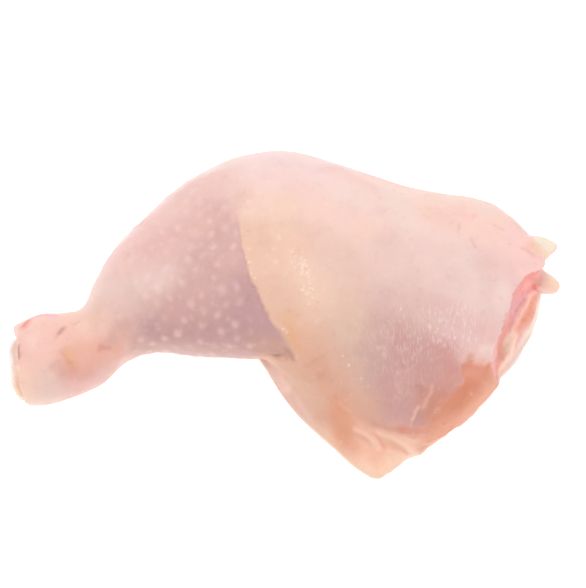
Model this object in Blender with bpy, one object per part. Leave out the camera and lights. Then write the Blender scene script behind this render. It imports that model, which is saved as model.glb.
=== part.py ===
"""Raw chicken leg quarter, lying on its inner side with the skin side up.

Frame: metres, +Z up, origin at the bottom centre of the whole. The drumstick points to -X, the thigh's
cut hip end faces +X, the knee is at the back (+Y) and the thin fat flap lies at the front (-Y).

Pieces:
  leg_quarter     drumstick, thigh, skin, fat flap and skin tags: one solid, flat where it rests
  hock_cartilage  the gristle cap of the severed hock joint, seated in a shallow socket of the hock

The leg is soft, so its form is a distance worked out from the sizes below: the sections of the drumstick
and the thigh, the flap and the tags are joined with fillets, and the surface where the joined distance is
zero is meshed.
"""

import math

import bmesh
import bpy
import numpy as np
from mathutils import Vector

MM = 0.001

# ---------------------------------------------------------------- named sizes, in millimetres
FRAME_SHIFT = (-0.6, -2.5)      # moves the drawing's zero to the middle of the whole
CELL = 0.8                      # grid on which the distance is worked out
LOW, HIGH = np.array((-106.0, -68.0, -4.0)), np.array((112.0, 70.0, 50.0))
TRIANGLES = 8300                # of the leg after thinning out
SINK = 0.7                      # depth below the resting plane that is cut off flat
GAP = 0.3                       # between gristle and socket
DRUM_SQUARENESS = 2.15          # 2 is an ellipse, more is boxier
THIGH_BACK_SQUARENESS = 2.2
THIGH_FRONT_SQUARENESS = 1.95
HOCK_ROUND, HIP_ROUND = 2.0, 1.6                # rounding of the edges of the two cuts
HOCK_DISH = 1.0                 # how far the middle of the hock's cut face lies back

# Sections of the drumstick from the hock cut to the knee. Each lies on a line seen from above, given by
# its back end (x, y) and front end (x, y), then the heights of its underside, widest line and top.
DRUM = (
    ("hock cut", -97.1, -7.0, -92.7, -36.2, 4.0, 15.0, 26.0),
    ("hock knuckle", -88.0, -2.8, -84.3, -35.8, 3.0, 15.0, 29.0),
    ("below knuckle", -79.5, -2.2, -75.1, -32.9, 3.5, 15.0, 28.0),
    ("shank", -72.5, 0.2, -64.5, -27.8, 4.5, 15.0, 27.0),
    ("calf start", -68.0, 11.0, -55.5, -19.2, 4.0, 16.0, 31.0),
    ("lower calf", -61.7, 22.6, -45.0, -15.7, 2.0, 17.0, 36.0),
    ("calf", -51.0, 35.5, -31.5, -17.2, 0.0, 17.0, 38.5),
    ("upper calf", -36.3, 49.6, -19.5, -18.5, -0.5, 18.0, 41.0),
    ("below knee", -18.9, 60.3, -9.0, -19.2, -0.5, 18.0, 41.5),
    ("knee", -1.5, 62.8, 3.0, -19.0, -0.5, 18.0, 41.0),
    ("behind knee", 15.5, 59.5, 13.5, -17.5, 0.0, 18.0, 40.0),
)
KNEE_ROUND = (8.7, 9.95)        # section numbers between which the knee end closes as a dome

# Sections of the thigh, each at one x: its back and front edge, crest line, then the heights of its
# underside, widest line at the back, widest line at the front, and crest.
THIGH = (
    (-16.0, 62.0, -14.0, 14.0, 0.0, 16.0, 12.0, 36.0),
    (-4.0, 63.7, -21.0, 12.5, 0.0, 17.0, 11.0, 38.0),
    (8.0, 63.1, -32.0, 11.5, 0.0, 17.0, 8.5, 40.5),
    (20.0, 58.3, -40.0, 11.5, 0.0, 17.0, 7.5, 42.0),
    (33.0, 53.1, -46.5, 9.5, 0.0, 17.0, 7.0, 42.0),
    (46.0, 48.0, -49.0, 6.5, 0.0, 17.0, 7.5, 41.5),
    (58.0, 46.0, -44.5, 4.5, 0.0, 16.5, 8.5, 40.0),
    (70.0, 44.5, -34.5, 3.5, 0.0, 16.0, 10.5, 38.0),
    (80.0, 40.6, -23.5, 2.5, 0.0, 15.5, 12.0, 35.5),
    (86.0, 34.9, -16.8, 3.0, 0.0, 14.8, 12.0, 34.1),
    (92.0, 31.0, -10.0, 3.5, 0.0, 14.0, 12.0, 32.5),
    (106.0, 27.0, -7.0, 5.0, 0.0, 13.0, 12.0, 30.5),
)
THIGH_ROUND = (-24.0, 7.0)      # the thigh closes as a dome between these x, inside the drumstick

# The hip cut seen from above: (y, x) of its foot 4 mm up, and of its upper lip 30 mm up.
HIP_FOOT_Z, HIP_LIP_Z = 4.0, 30.0
HIP_FOOT = ((-60.0, 96.0), (-40.0, 88.0), (-28.0, 80.5), (-22.0, 76.9), (-17.0, 80.4), (-12.5, 83.2), (-7.0, 85.6), (-3.0, 88.0), (1.0, 91.0), (7.0, 93.6),
    (14.5, 94.8), (26.5, 93.4), (36.0, 89.0), (44.0, 83.0), (58.0, 70.5))
HIP_LIP = ((-60.0, 86.0), (-40.0, 78.0), (-28.0, 73.0), (-24.4, 72.6), (-20.4, 73.9), (-18.1, 75.1), (-13.8, 77.1), (-10.2, 78.7),
    (-5.3, 81.2), (-2.2, 82.4), (2.0, 84.9), (5.6, 88.0), (7.3, 91.2), (9.0, 93.1), (11.2, 93.7), (14.0, 93.4), (17.0, 92.9),
    (19.5, 92.0), (25.0, 88.6), (30.0, 84.6), (44.5, 71.5))
SKIN = 1.9                      # thickness of the skin's lip round the bare meat
RECESS = 2.0                    # how far the bare meat lies behind the lip in the cut's upper part

# The fat flap seen from above: (x, y) along its free edge, from the drumstick to the hip cut.
FLAP = (
    (-14.0, -2.0), (-9.7, -10.3), (-7.2, -15.2), (-5.3, -19.0), (-2.9, -23.5), (-0.2, -28.0), (2.5, -31.8), (6.0, -35.6),
    (11.2, -39.4), (15.6, -43.5), (19.8, -47.6), (24.2, -52.5), (27.9, -56.0), (31.1, -58.4), (33.4, -59.1), (35.6, -58.0),
    (40.4, -53.6), (45.2, -50.7), (48.6, -49.4), (49.9, -47.4), (53.4, -44.7), (58.1, -41.5), (65.1, -36.7), (69.5, -31.8),
    (73.5, -26.9), (76.9, -23.0), (76.1, -20.6), (79.6, -18.3), (85.9, -11.9), (90.0, -6.0),
)
FLAP_ROOT_LINE = ((86.0, 6.0), (60.0, 20.0), (20.0, 20.0), (-8.0, 12.0))
FLAP_EDGE, FLAP_ROOT, FLAP_DEPTH, FLAP_DEPTH_LEFT = 3.0, 11.0, 13.0, 24.0

# Where the thigh's skin laps over the drumstick, seen from above, from back to front.
LAP = ((-17.2, 40.0), (-17.1, 25.2), (-16.0, 19.8), (-14.9, 13.0), (-13.5, 7.4), (-11.9, 1.6),
    (-9.4, -3.6), (-6.6, -8.6), (-3.5, -13.0), (0.0, -15.6), (2.2, -18.6), (3.6, -21.4), (4.8, -25.0))
LAP_STEP, LAP_FADE = 1.5, 17.0  # height of the step, and how far it takes to even out

# Skin tags at the hip cut: outline seen from above, height of the middle at x = 90 and its slope, half thickness.
TAGS = (
    (((85.2, 19.2), (87.3, 21.3), (89.3, 22.7), (91.6, 23.7), (93.9, 23.9), (96.7, 23.4), (98.9, 22.2), (98.1, 20.1), (96.0, 17.1), (94.2, 15.3), (92.1, 13.7), (89.4, 12.7), (86.5, 14.3)),
     29.0, -0.55, 1.1),
    (((90.4, 13.6), (92.9, 14.6), (94.6, 14.0), (96.8, 12.8), (98.6, 11.1), (99.7, 8.8), (99.6, 6.8), (98.2, 5.1), (95.3, 4.9), (92.5, 4.8), (90.2, 6.1)),
     22.0, -0.2, 1.25),
)

# The bare fat beyond the skin's end, seen from above, how deep it lies and the height of the rim beside it.
BARE = ((46.5, -49.5), (49.6, -45.8), (54.7, -40.2), (59.9, -35.6), (62.6, -32.6), (61.4, -28.6), (64.8, -26.9), (68.4, -25.8), (72.5, -25.4),
    (80.0, -24.0), (88.0, -34.0), (64.0, -60.0), (50.0, -62.0))
BARE_DEPTH, BARE_RIM = 0.75, 0.3

# Ridges and hollows: path, half width, height (below zero for a hollow). Their ends run out.
RIDGES = (
    ("shin ridge", ((-70.8, -4.9, 24.4), (-59.6, -3.9, 31.6), (-50.6, -2.5, 35.1), (-40.0, 1.7, 37.6), (-29.5, 6.8, 40.0)), 4.5, 0.8),
    ("hollow above the fold", ((-16.8, 50.0, 35.0), (-17.2, 36.5, 39.7), (-17.1, 24.5, 41.2)), 3.6, -0.55),
    ("thigh ridge", ((16.7, 47.5, 34.0), (29.2, 40.4, 36.0), (41.6, 32.3, 37.6), (55.5, 21.7, 38.7), (65.7, 10.0, 38.6), (72.1, -6.4, 36.4)), 5.5, 0.8),
    ("behind the thigh ridge", ((26.0, 49.0, 31.0), (44.0, 41.5, 32.0), (58.0, 33.0, 34.5), (70.0, 22.0, 35.5)), 4.0, -0.5),
    ("notch under the knee", ((1.2, -20.3, 24.4), (2.8, -21.6, 24.0)), 1.4, -0.9),
    ("tip lobe A", ((25.8, -43.5, 9.8), (28.6, -45.0, 9.8), (31.1, -46.8, 8.7), (32.9, -49.3, 6.5)), 1.2, 1.25),
    ("tip lobe B", ((33.6, -45.7, 11.2), (37.3, -46.7, 11.4), (41.6, -48.4, 8.6), (46.0, -50.6, 4.6)), 1.2, 1.15),
    ("mauve patch", ((59.4, -30.6, 29.6), (58.4, -34.2, 27.0)), 2.6, 0.5),
    ("pale lobe", ((64.0, -25.2, 31.3), (69.1, -22.6, 31.0), (72.4, -19.6, 31.0)), 2.6, 0.6),
    ("outer edge of the bare fat", ((55.0, -44.6, 14.0), (62.0, -39.8, 15.0), (69.0, -33.5, 15.5), (73.0, -29.5, 16.0)), 3.0, 0.35),
    ("hollow of the bare fat", ((60.0, -38.0, 22.6), (65.0, -34.0, 25.0), (67.5, -30.0, 26.8)), 3.4, -0.6),
    ("membrane lobe", ((89.1, 5.5, 15.3), (87.5, 2.9, 15.6), (85.5, -0.8, 15.6), (84.1, -3.1, 13.8), (82.4, -6.5, 14.0)), 1.6, 0.8),
    ("cream fat", ((83.7, -8.2, 10.6), (82.4, -11.6, 11.6), (80.8, -14.9, 11.0), (79.4, -17.4, 10.1)), 2.4, 0.8),
    ("back muscle 1", ((88.6, 17.0, 22.0), (87.8, 23.6, 16.0), (88.6, 28.0, 9.0)), 3.6, 1.6),
    ("back muscle 2", ((82.6, 29.6, 24.0), (82.0, 36.0, 17.0), (82.6, 39.6, 9.0)), 3.4, 1.4),
    ("edge fat", ((88.0, 31.0, 6.0), (84.0, 39.0, 5.4), (77.0, 44.0, 5.4)), 2.2, 1.0),
)

# The gristle cap: centre on the hock's cut face, half width, half height, how far it stands proud and reaches in.
CAP_CENTRE = np.array((-94.7, -23.0, 14.6))
CAP_HALF_WIDTH, CAP_HALF_HEIGHT, CAP_SQUARENESS = 11.3, 9.3, 2.2
CAP_PROUD, CAP_DEPTH, CAP_FALL = 3.0, 4.4, 2.5
CAP_PINCH, CAP_GROOVE = 0.06, 0.13              # waist and groove between the two lobes
CAP_POINTS = 36


# ---------------------------------------------------------------- mathematics of the form
def curve(xs, ys):
    """Smooth curve through points."""
    xs, ys = np.asarray(xs, float), np.asarray(ys, float)
    h = np.diff(xs)
    d = np.diff(ys) / h
    m = np.empty_like(ys)
    m[1:-1] = (d[:-1] * h[1:] + d[1:] * h[:-1]) / (h[:-1] + h[1:])
    m[0], m[-1] = d[0], d[-1]

    def at(x):
        x = np.clip(x, xs[0], xs[-1])
        i = np.clip(np.searchsorted(xs, x, side="right") - 1, 0, len(h) - 1)
        t = (x - xs[i]) / h[i]
        a, b = ys[i], ys[i + 1]
        return (
            (2 * t**3 - 3 * t**2 + 1) * a
            + (t**3 - 2 * t**2 + t) * h[i] * m[i]
            + (-2 * t**3 + 3 * t**2) * b
            + (t**3 - t**2) * h[i] * m[i + 1]
        )

    return at


def smooth_path(points, count):
    points = np.asarray(points, float)
    k = np.arange(len(points))
    t = np.linspace(0, len(points) - 1, count)
    return np.stack([curve(k, points[:, i])(t) for i in range(points.shape[1])], 1)


def smooth_step(a, b, x):
    t = np.clip((x - a) / (b - a), 0.0, 1.0)
    return t * t * (3.0 - 2.0 * t)


def join(a, b, r):
    """Union of two distances with a fillet of about r mm."""
    h = np.clip(0.5 + 0.5 * (b - a) / r, 0.0, 1.0)
    return b + (a - b) * h - r * h * (1.0 - h)


def trim(a, b, r):
    """Intersection with a rounded edge."""
    return -join(-a, -b, r)


def true_distance(f):
    """Makes a field that is zero on a surface rise by 1 per mm beside it."""
    g = np.gradient(f, CELL)
    return f / np.maximum(np.sqrt(g[0] ** 2 + g[1] ** 2 + g[2] ** 2), 1e-3)


def outline_distance(x, y, outline):
    """Signed distance to a closed outline seen from above, negative inside."""
    d = np.full(x.shape, 1e9)
    inside = np.zeros(x.shape, bool)
    for a, b in zip(outline, np.roll(outline, -1, 0)):
        e = b - a
        size = e @ e
        if size < 1e-9:
            continue
        t = np.clip(((x - a[0]) * e[0] + (y - a[1]) * e[1]) / size, 0, 1)
        d = np.minimum(d, (x - a[0] - t * e[0]) ** 2 + (y - a[1] - t * e[1]) ** 2)
        inside ^= ((a[1] > y) != (b[1] > y)) & (x < (b[0] - a[0]) * (y - a[1]) / (b[1] - a[1] + 1e-12) + a[0])
    return np.where(inside, -np.sqrt(d), np.sqrt(d))


def path_distance(p, path):
    """Distance of points to a path, and how far along it they are from 0 to 1."""
    path = smooth_path(path, 3 * len(path)) if len(path) > 2 else np.asarray(path, float)
    best, along = np.full(len(p), 1e9), np.zeros(len(p))
    lengths = np.linalg.norm(np.diff(path, axis=0), axis=1)
    starts = np.concatenate([[0.0], np.cumsum(lengths)])
    for a, b, start, size in zip(path, path[1:], starts, lengths):
        t = np.clip((p - a) @ (b - a) / (size * size), 0, 1)
        d = ((p - a - t[:, None] * (b - a)) ** 2).sum(1)
        near = d < best
        best = np.where(near, d, best)
        along = np.where(near, (start + t * size) / starts[-1], along)
    return np.sqrt(best), along


def up(q):
    return q[:, :, None]


# ---------------------------------------------------------------- the parts of the leg as distances
def hock_frame():
    """Middle of the hock's cut face, the level direction along it, and the one out of it."""
    _, xa, ya, xb, yb = DRUM[0][:5]
    side = np.array((xa - xb, ya - yb)) / math.hypot(xa - xb, ya - yb)
    return np.array((0.5 * (xa + xb), 0.5 * (ya + yb))), side, np.array((-side[1], side[0]))


def drumstick(x, y, z):
    sizes = np.array([row[1:] for row in DRUM])
    at = [curve(np.arange(len(DRUM)), sizes[:, i]) for i in range(7)]
    low, high = np.zeros_like(x), np.full_like(x, len(DRUM) - 1.0)
    for _ in range(22):                               # the section each point lies on
        mid = 0.5 * (low + high)
        xa, ya, xb, yb = (f(mid) for f in at[:4])
        before = (xa - xb) * (y - yb) - (ya - yb) * (x - xb) < 0
        low, high = np.where(before, mid, low), np.where(before, high, mid)
    t = 0.5 * (low + high)
    xa, ya, xb, yb, under, wide, top = (f(t) for f in at)
    half = 0.5 * np.hypot(xa - xb, ya - yb)
    s = ((x - 0.5 * (xa + xb)) * (xa - xb) + (y - 0.5 * (ya + yb)) * (ya - yb)) / (2 * half * half)
    q = np.where(z > up(wide), (z - up(wide)) / up(top - wide), (up(wide) - z) / up(wide - under + SINK))
    close = np.clip((t - KNEE_ROUND[0]) / (KNEE_ROUND[1] - KNEE_ROUND[0]), 0, 2)
    n = DRUM_SQUARENESS
    form = true_distance((np.abs(up(s)) ** n + np.abs(q) ** n + up(close) ** 2.2) ** (1 / n) - 1)
    centre, side, out = hock_frame()
    beyond = (x - centre[0]) * out[0] + (y - centre[1]) * out[1]
    across = (x - centre[0]) * side[0] + (y - centre[1]) * side[1]
    beyond += HOCK_DISH * smooth_step(15.0, 9.0, across) * smooth_step(-13.0, -5.0, across)
    return trim(form, np.broadcast_to(up(beyond), form.shape), HOCK_ROUND)


def thigh(x, y, z):
    sizes = np.array(THIGH)
    back, front, crest, under, wide_b, wide_f, top = (curve(sizes[:, 0], sizes[:, i])(x) for i in range(1, 8))
    behind = y > crest
    s = np.where(behind, (y - crest) / (back - crest), (crest - y) / (crest - front))
    blend = np.sqrt(np.clip(np.abs(s), 0, 1))
    wide = np.where(behind, wide_b, wide_f) * blend + 0.5 * (wide_b + wide_f) * (1 - blend)
    n = up(np.where(behind, THIGH_BACK_SQUARENESS, THIGH_FRONT_SQUARENESS))
    q = np.where(z > up(wide), (z - up(wide)) / up(top - wide), (up(wide) - z) / up(wide - under + SINK))
    close = np.clip((THIGH_ROUND[1] - x) / (THIGH_ROUND[1] - THIGH_ROUND[0]), 0, 3)
    return true_distance((np.abs(up(s)) ** n + np.abs(q) ** n + up(close) ** 2.2) ** (1 / n) - 1)


def hip_cut_x(y, z):
    """Where the hip cut lies along x."""
    foot = curve(*np.array(HIP_FOOT).T)
    lip = curve(*np.array(HIP_LIP).T)
    w = (z - HIP_FOOT_Z) / (HIP_LIP_Z - HIP_FOOT_Z)
    return foot(y) * (1.0 - w) + lip(y) * w


def fat_flap(x, y, z):
    """A wedge that thins out towards its free edge, with its root inside the thigh."""
    past = outline_distance(x, y, np.concatenate([smooth_path(FLAP, 80), FLAP_ROOT_LINE]))
    depth = FLAP_DEPTH_LEFT + (FLAP_DEPTH - FLAP_DEPTH_LEFT) * smooth_step(20.0, 8.0, x)
    thick = FLAP_EDGE + (FLAP_ROOT - FLAP_EDGE) * smooth_step(0.0, -depth, past)
    slab = np.abs(z + 0.5 * SINK - up(thick) * 0.5) - up(thick + SINK) * 0.5
    return trim(np.broadcast_to(up(past), slab.shape), slab, 2.0)


def skin_tag(x, y, z, outline, height, slope, half):
    past = outline_distance(x, y, smooth_path(outline, 40)) - 0.15
    middle = height + slope * (x - 90.0) + 0.5 * np.sin(0.8 * y + 0.4 * x)
    slab = np.abs(z - up(middle)) - up(half + 0.9 * smooth_step(97.0, 88.0, x))
    return trim(np.broadcast_to(up(past), slab.shape), slab, 1.2)


def lap_distance(x, y):
    """How far a point lies beyond the line where the thigh's skin begins, in mm."""
    line = np.array(LAP)[::-1]
    at = curve(line[:, 1], line[:, 0])
    slope = at(y + 0.5) - at(y - 0.5)
    return (x - at(y)) / np.sqrt(1.0 + slope**2)


def relief(p, upward):
    """How far the surface is raised at points: the lap of the thigh's skin, the bare fat, ridges and hollows."""
    x, y, z = p.T
    upper = smooth_step(-0.15, 0.3, upward)
    past = lap_distance(x, y)
    reach = smooth_step(44.0, 20.0, y) * smooth_step(-29.0, -22.0, y) * smooth_step(12.0, 16.0, z)
    height = LAP_STEP * (0.62 + 0.38 * smooth_step(10.0, -12.0, y))
    lap = smooth_step(-0.9, 0.8, past) * np.exp(-np.maximum(past - 0.6, 0.0) / LAP_FADE)
    raised = height * lap * upper * reach
    bare = outline_distance(x, y, np.array(BARE))
    rim = BARE_RIM * np.exp(-(((bare - 1.0) / 1.1) ** 2)) - BARE_DEPTH * smooth_step(0.8, -0.7, bare)
    raised += upper * smooth_step(4.0, 9.0, z) * rim
    for _, path, width, height in RIDGES:
        path = np.array(path, float)
        lo, hi = path.min(0) - 3.2 * width, path.max(0) + 3.2 * width
        near = np.flatnonzero(((p > lo) & (p < hi)).all(1))
        d, along = path_distance(p[near], path)
        ends = smooth_step(-0.02, 0.22, along) * smooth_step(1.02, 0.78, along)
        raised[near] += height * np.exp(-((d / width) ** 2)) * (0.35 + 0.65 * ends)
    return raised


def leg_distance():
    """Distance to the leg's surface on the grid, negative inside."""
    count = np.ceil((HIGH - LOW) / CELL).astype(int) + 1
    gx, gy, gz = (LOW[i] + CELL * np.arange(count[i]) for i in range(3))
    x, y = np.meshgrid(gx, gy, indexing="ij")
    z = gz[None, None, :]
    drum = drumstick(x, y, z)
    shell = thigh(x, y, z)
    cut = true_distance(up(x) - hip_cut_x(up(y), z))
    flap = trim(fat_flap(x, y, z), cut, 2.0)
    f = join(drum, trim(shell, cut, HIP_ROUND), 2.0 + 6.0 * up(smooth_step(-20, 5, y)))
    f = join(f, flap, 6.5 + 6.5 * up(smooth_step(2.0, 12.0, x)) - 6.0 * up(smooth_step(20.0, 40.0, x)))
    # the bare meat of the hip cut lies behind the skin's lip
    inner = join(shell, flap, 5.0) + SKIN + 0.8 * up(smooth_step(14.0, 22.0, y))
    recess = (RECESS + 0.8) * smooth_step(6.0, 16.0, z) * smooth_step(-22.5, -15.0, up(y)) - 0.8
    f = trim(f, -trim(inner, -(cut + recess), 0.9), 0.5)
    for tag in TAGS:
        f = join(f, skin_tag(x, y, z, *tag), 2.6)
    gradient = np.gradient(f, CELL)
    close = np.argwhere(np.abs(f) < 3.4)
    index = tuple(close.T)
    slope = np.stack([g[index] for g in gradient], 1)
    slope /= np.maximum(np.linalg.norm(slope, axis=1, keepdims=True), 1e-6)
    f[index] -= relief(LOW + CELL * close, slope[:, 2])
    return np.maximum(f, -SINK - z)


# ---------------------------------------------------------------- meshing
def surface(f):
    """Vertices and outward faces of the zero surface of a distance on the grid."""
    inside = f < 0
    nx, ny, nz = f.shape
    corners = [(i, j, k) for i in (0, 1) for j in (0, 1) for k in (0, 1)]
    count = sum(inside[i:nx - 1 + i, j:ny - 1 + j, k:nz - 1 + k].astype(np.int8) for i, j, k in corners)
    crossed = (count > 0) & (count < 8)
    cells = np.argwhere(crossed)
    number = np.full(crossed.shape, -1)
    number[crossed] = np.arange(len(cells))
    values = np.stack([f[cells[:, 0] + i, cells[:, 1] + j, cells[:, 2] + k] for i, j, k in corners], 1)
    corners = np.array(corners)
    total, hits = np.zeros((len(cells), 3)), np.zeros(len(cells))
    for a in range(8):
        for b in range(a + 1, 8):
            if np.abs(corners[a] - corners[b]).sum() != 1:
                continue
            crossing = (values[:, a] < 0) != (values[:, b] < 0)
            t = np.where(crossing, values[:, a] / np.where(crossing, values[:, a] - values[:, b], 1), 0)
            total += np.where(crossing[:, None], corners[a] + t[:, None] * (corners[b] - corners[a]), 0)
            hits += crossing
    verts = LOW + CELL * (cells + total / hits[:, None])
    faces = []
    for axis in range(3):
        first, second = [slice(1, -1)] * 3, [slice(1, -1)] * 3
        first[axis], second[axis] = slice(0, -1), slice(1, None)
        a, b = inside[tuple(first)], inside[tuple(second)]
        edges = np.argwhere(a != b)
        outward = a[tuple(edges.T)]
        for other in range(3):
            if other != axis:
                edges[:, other] += 1
        u, w = ((1, 2), (2, 0), (0, 1))[axis]

        def at(du, dw):
            e = edges.copy()
            e[:, u] += du
            e[:, w] += dw
            return number[tuple(e.T)]

        quad = np.stack([at(-1, -1), at(0, -1), at(0, 0), at(-1, 0)], 1)
        faces.append(np.where(outward[:, None], quad, quad[:, ::-1]))
    return verts, np.concatenate(faces)


def material(name, colour, roughness):
    made = bpy.data.materials.new(name)
    made.use_nodes = True
    shader = made.node_tree.nodes["Principled BSDF"]
    shader.inputs["Base Color"].default_value = (*colour, 1.0)
    shader.inputs["Roughness"].default_value = roughness
    shader.inputs["Metallic"].default_value = 0.0
    return made


def add_object(name, mesh, helper=False):
    made = bpy.data.objects.new(name, mesh)
    bpy.context.scene.collection.objects.link(made)
    if helper:
        made.hide_render = True
        made.display_type = "WIRE"
    return made


def loft(name, rings, helper):
    """A closed body through rings of points in mm, closed at both ends by a point in the middle."""
    bm = bmesh.new()
    loops = []
    for ring in rings:
        verts = [bm.verts.new(Vector(p) * MM) for p in ring]
        edges = [bm.edges.new((verts[i - 1], verts[i])) for i in range(len(verts))]
        loops.append((verts, edges))
    for (_, lower), (_, upper) in zip(loops, loops[1:]):
        bmesh.ops.bridge_loops(bm, edges=lower + upper)
    for verts, _ in (loops[0], loops[-1]):
        centre = sum((v.co for v in verts), Vector()) / len(verts)
        hub = bm.verts.new(centre)
        for i in range(len(verts)):
            bm.faces.new((verts[i - 1], verts[i], hub))
    bmesh.ops.recalc_face_normals(bm, faces=bm.faces)
    mesh = bpy.data.meshes.new(name)
    bm.to_mesh(mesh)
    bm.free()
    return add_object(name, mesh, helper)


def cap_ring(scale, height, grow):
    """A ring of the gristle cap: scale of its outline, and its height over the hock's cut face."""
    _, side, out = hock_frame()
    w, h = CAP_HALF_WIDTH + grow, CAP_HALF_HEIGHT + grow
    ring = []
    for i in range(CAP_POINTS):
        angle = 2 * math.pi * i / CAP_POINTS
        c, d = math.cos(angle), math.sin(angle)
        s = w * scale * math.copysign(abs(c) ** (2.0 / CAP_SQUARENESS), c)
        pinch = 1.0 - CAP_PINCH * math.exp(-(((s - 0.8) / (0.34 * w)) ** 2))
        u = h * scale * pinch * math.copysign(abs(d) ** (2.0 / CAP_SQUARENESS), d)
        o = height
        if o is None:                                 # on the cap's double-lobed face
            groove = CAP_GROOVE * math.exp(-(((s - 0.8) / (0.2 * w)) ** 2))
            o = CAP_PROUD * (1.0 - groove + 0.03 * s / w) - CAP_FALL * scale**3.2
        flat = CAP_CENTRE[:2] + side * s + out * o
        ring.append((flat[0], flat[1], CAP_CENTRE[2] + u))
    return ring


def gristle_cap():
    rings = [cap_ring(0.45, -CAP_DEPTH, 0.0), cap_ring(0.94, -CAP_DEPTH, 0.0), cap_ring(1.0, -CAP_DEPTH + 0.6, 0.0), cap_ring(1.0, -1.6, 0.0), cap_ring(1.0, -0.1, 0.0)]
    rings += [cap_ring(f, None, 0.0) for f in (0.96, 0.9, 0.8, 0.66, 0.5, 0.33, 0.16)]
    return loft("hock_cartilage", rings, helper=False)


def socket_cutter():
    """The cap's outline and floor, set out by the gap all round, and open outwards."""
    return loft("socket_cutter", [cap_ring(1.0, -CAP_DEPTH - GAP, GAP), cap_ring(1.0, 0.0, GAP), cap_ring(1.0, 9.0, GAP)], helper=True)


# ---------------------------------------------------------------- joining
def boolean(target, other, operation):
    made = target.modifiers.new(operation.lower() + "_" + other.name, "BOOLEAN")
    made.operation = operation
    made.object = other
    made.solver = "EXACT"


def bake(obj):
    """The object's mesh as its modifiers leave it."""
    graph = bpy.context.evaluated_depsgraph_get()
    mesh = bpy.data.meshes.new_from_object(obj.evaluated_get(graph))
    obj.modifiers.clear()
    old = obj.data
    obj.data = mesh
    bpy.data.meshes.remove(old)


def leg_quarter(socket):
    verts, faces = surface(leg_distance())
    mesh = bpy.data.meshes.new("leg_quarter")
    mesh.from_pydata((verts * MM).tolist(), [], faces.tolist())
    leg = add_object("leg_quarter", mesh)
    remesh = leg.modifiers.new("one_skin", "REMESH")
    remesh.mode = "VOXEL"
    remesh.voxel_size = CELL * MM
    remesh.adaptivity = 0.0
    relax = leg.modifiers.new("relax", "SMOOTH")
    relax.factor = 0.4
    relax.iterations = 2
    bake(leg)
    thin = leg.modifiers.new("thin_out", "DECIMATE")
    thin.decimate_type = "COLLAPSE"
    thin.ratio = TRIANGLES / sum(len(p.vertices) - 2 for p in leg.data.polygons)
    bake(leg)
    # the flat underside and the socket
    bm = bmesh.new()
    bmesh.ops.create_cube(bm, size=1.0)
    bmesh.ops.scale(bm, vec=Vector((300.0, 300.0, 20.0)) * MM, verts=bm.verts)
    bmesh.ops.translate(bm, vec=Vector((0.0, 0.0, -10.0)) * MM, verts=bm.verts)
    mesh = bpy.data.meshes.new("ground_cutter")
    bm.to_mesh(mesh)
    bm.free()
    ground = add_object("ground_cutter", mesh, helper=True)
    boolean(leg, ground, "DIFFERENCE")
    boolean(leg, socket, "DIFFERENCE")
    bake(leg)
    bpy.data.objects.remove(ground)
    return leg


def main():
    for old in list(bpy.data.objects):
        bpy.data.objects.remove(old)
    socket = socket_cutter()
    leg = leg_quarter(socket)
    bpy.data.objects.remove(socket)
    cap = gristle_cap()
    leg.data.materials.clear()
    leg.data.materials.append(material("chicken_skin", (0.80, 0.50, 0.42), 0.36))
    cap.data.materials.append(material("gristle", (0.62, 0.66, 0.68), 0.28))
    shift = Vector((*FRAME_SHIFT, 0.0)) * MM
    for obj in (leg, cap):
        for v in obj.data.vertices:
            v.co += shift
        obj.data.shade_smooth()
        obj.data.set_sharp_from_angle(angle=math.radians(50))


main()
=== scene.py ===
"""Looks of the raw chicken leg quarter: skin, fat, bare meat and the gristle of the hock.

Sizes are in millimetres in the drawing's own zero, as in the model's source, and are moved by FRAME_SHIFT
and scaled to metres when the meshes are made. -X is the hock, +X the cut hip end, +Y the knee side.
"""

import math

import bpy
import numpy as np
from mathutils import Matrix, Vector


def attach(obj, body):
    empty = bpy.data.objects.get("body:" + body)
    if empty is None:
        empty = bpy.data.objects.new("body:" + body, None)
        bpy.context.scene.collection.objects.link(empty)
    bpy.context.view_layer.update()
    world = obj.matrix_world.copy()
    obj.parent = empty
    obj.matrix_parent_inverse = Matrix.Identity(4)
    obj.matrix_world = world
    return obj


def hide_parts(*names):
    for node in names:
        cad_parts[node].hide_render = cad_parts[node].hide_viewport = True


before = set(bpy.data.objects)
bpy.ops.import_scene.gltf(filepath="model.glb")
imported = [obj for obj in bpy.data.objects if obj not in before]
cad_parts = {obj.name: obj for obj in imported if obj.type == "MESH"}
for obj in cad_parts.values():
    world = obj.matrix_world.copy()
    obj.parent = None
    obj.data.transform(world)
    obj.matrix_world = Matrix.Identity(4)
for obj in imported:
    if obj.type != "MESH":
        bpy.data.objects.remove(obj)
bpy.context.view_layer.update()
np.seterr(all="ignore")

MM = 0.001
FRAME_SHIFT = np.array((-0.6, -2.5, 0.0))
CELL = 0.62                     # grid of the skin surface, mm
FACES = 196000                  # most triangles of the skin; the underside is thinned out to keep to it
LOW = np.array((-106.0, -68.0, -3.0))
HIGH = np.array((112.0, 70.0, 54.0))

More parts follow.
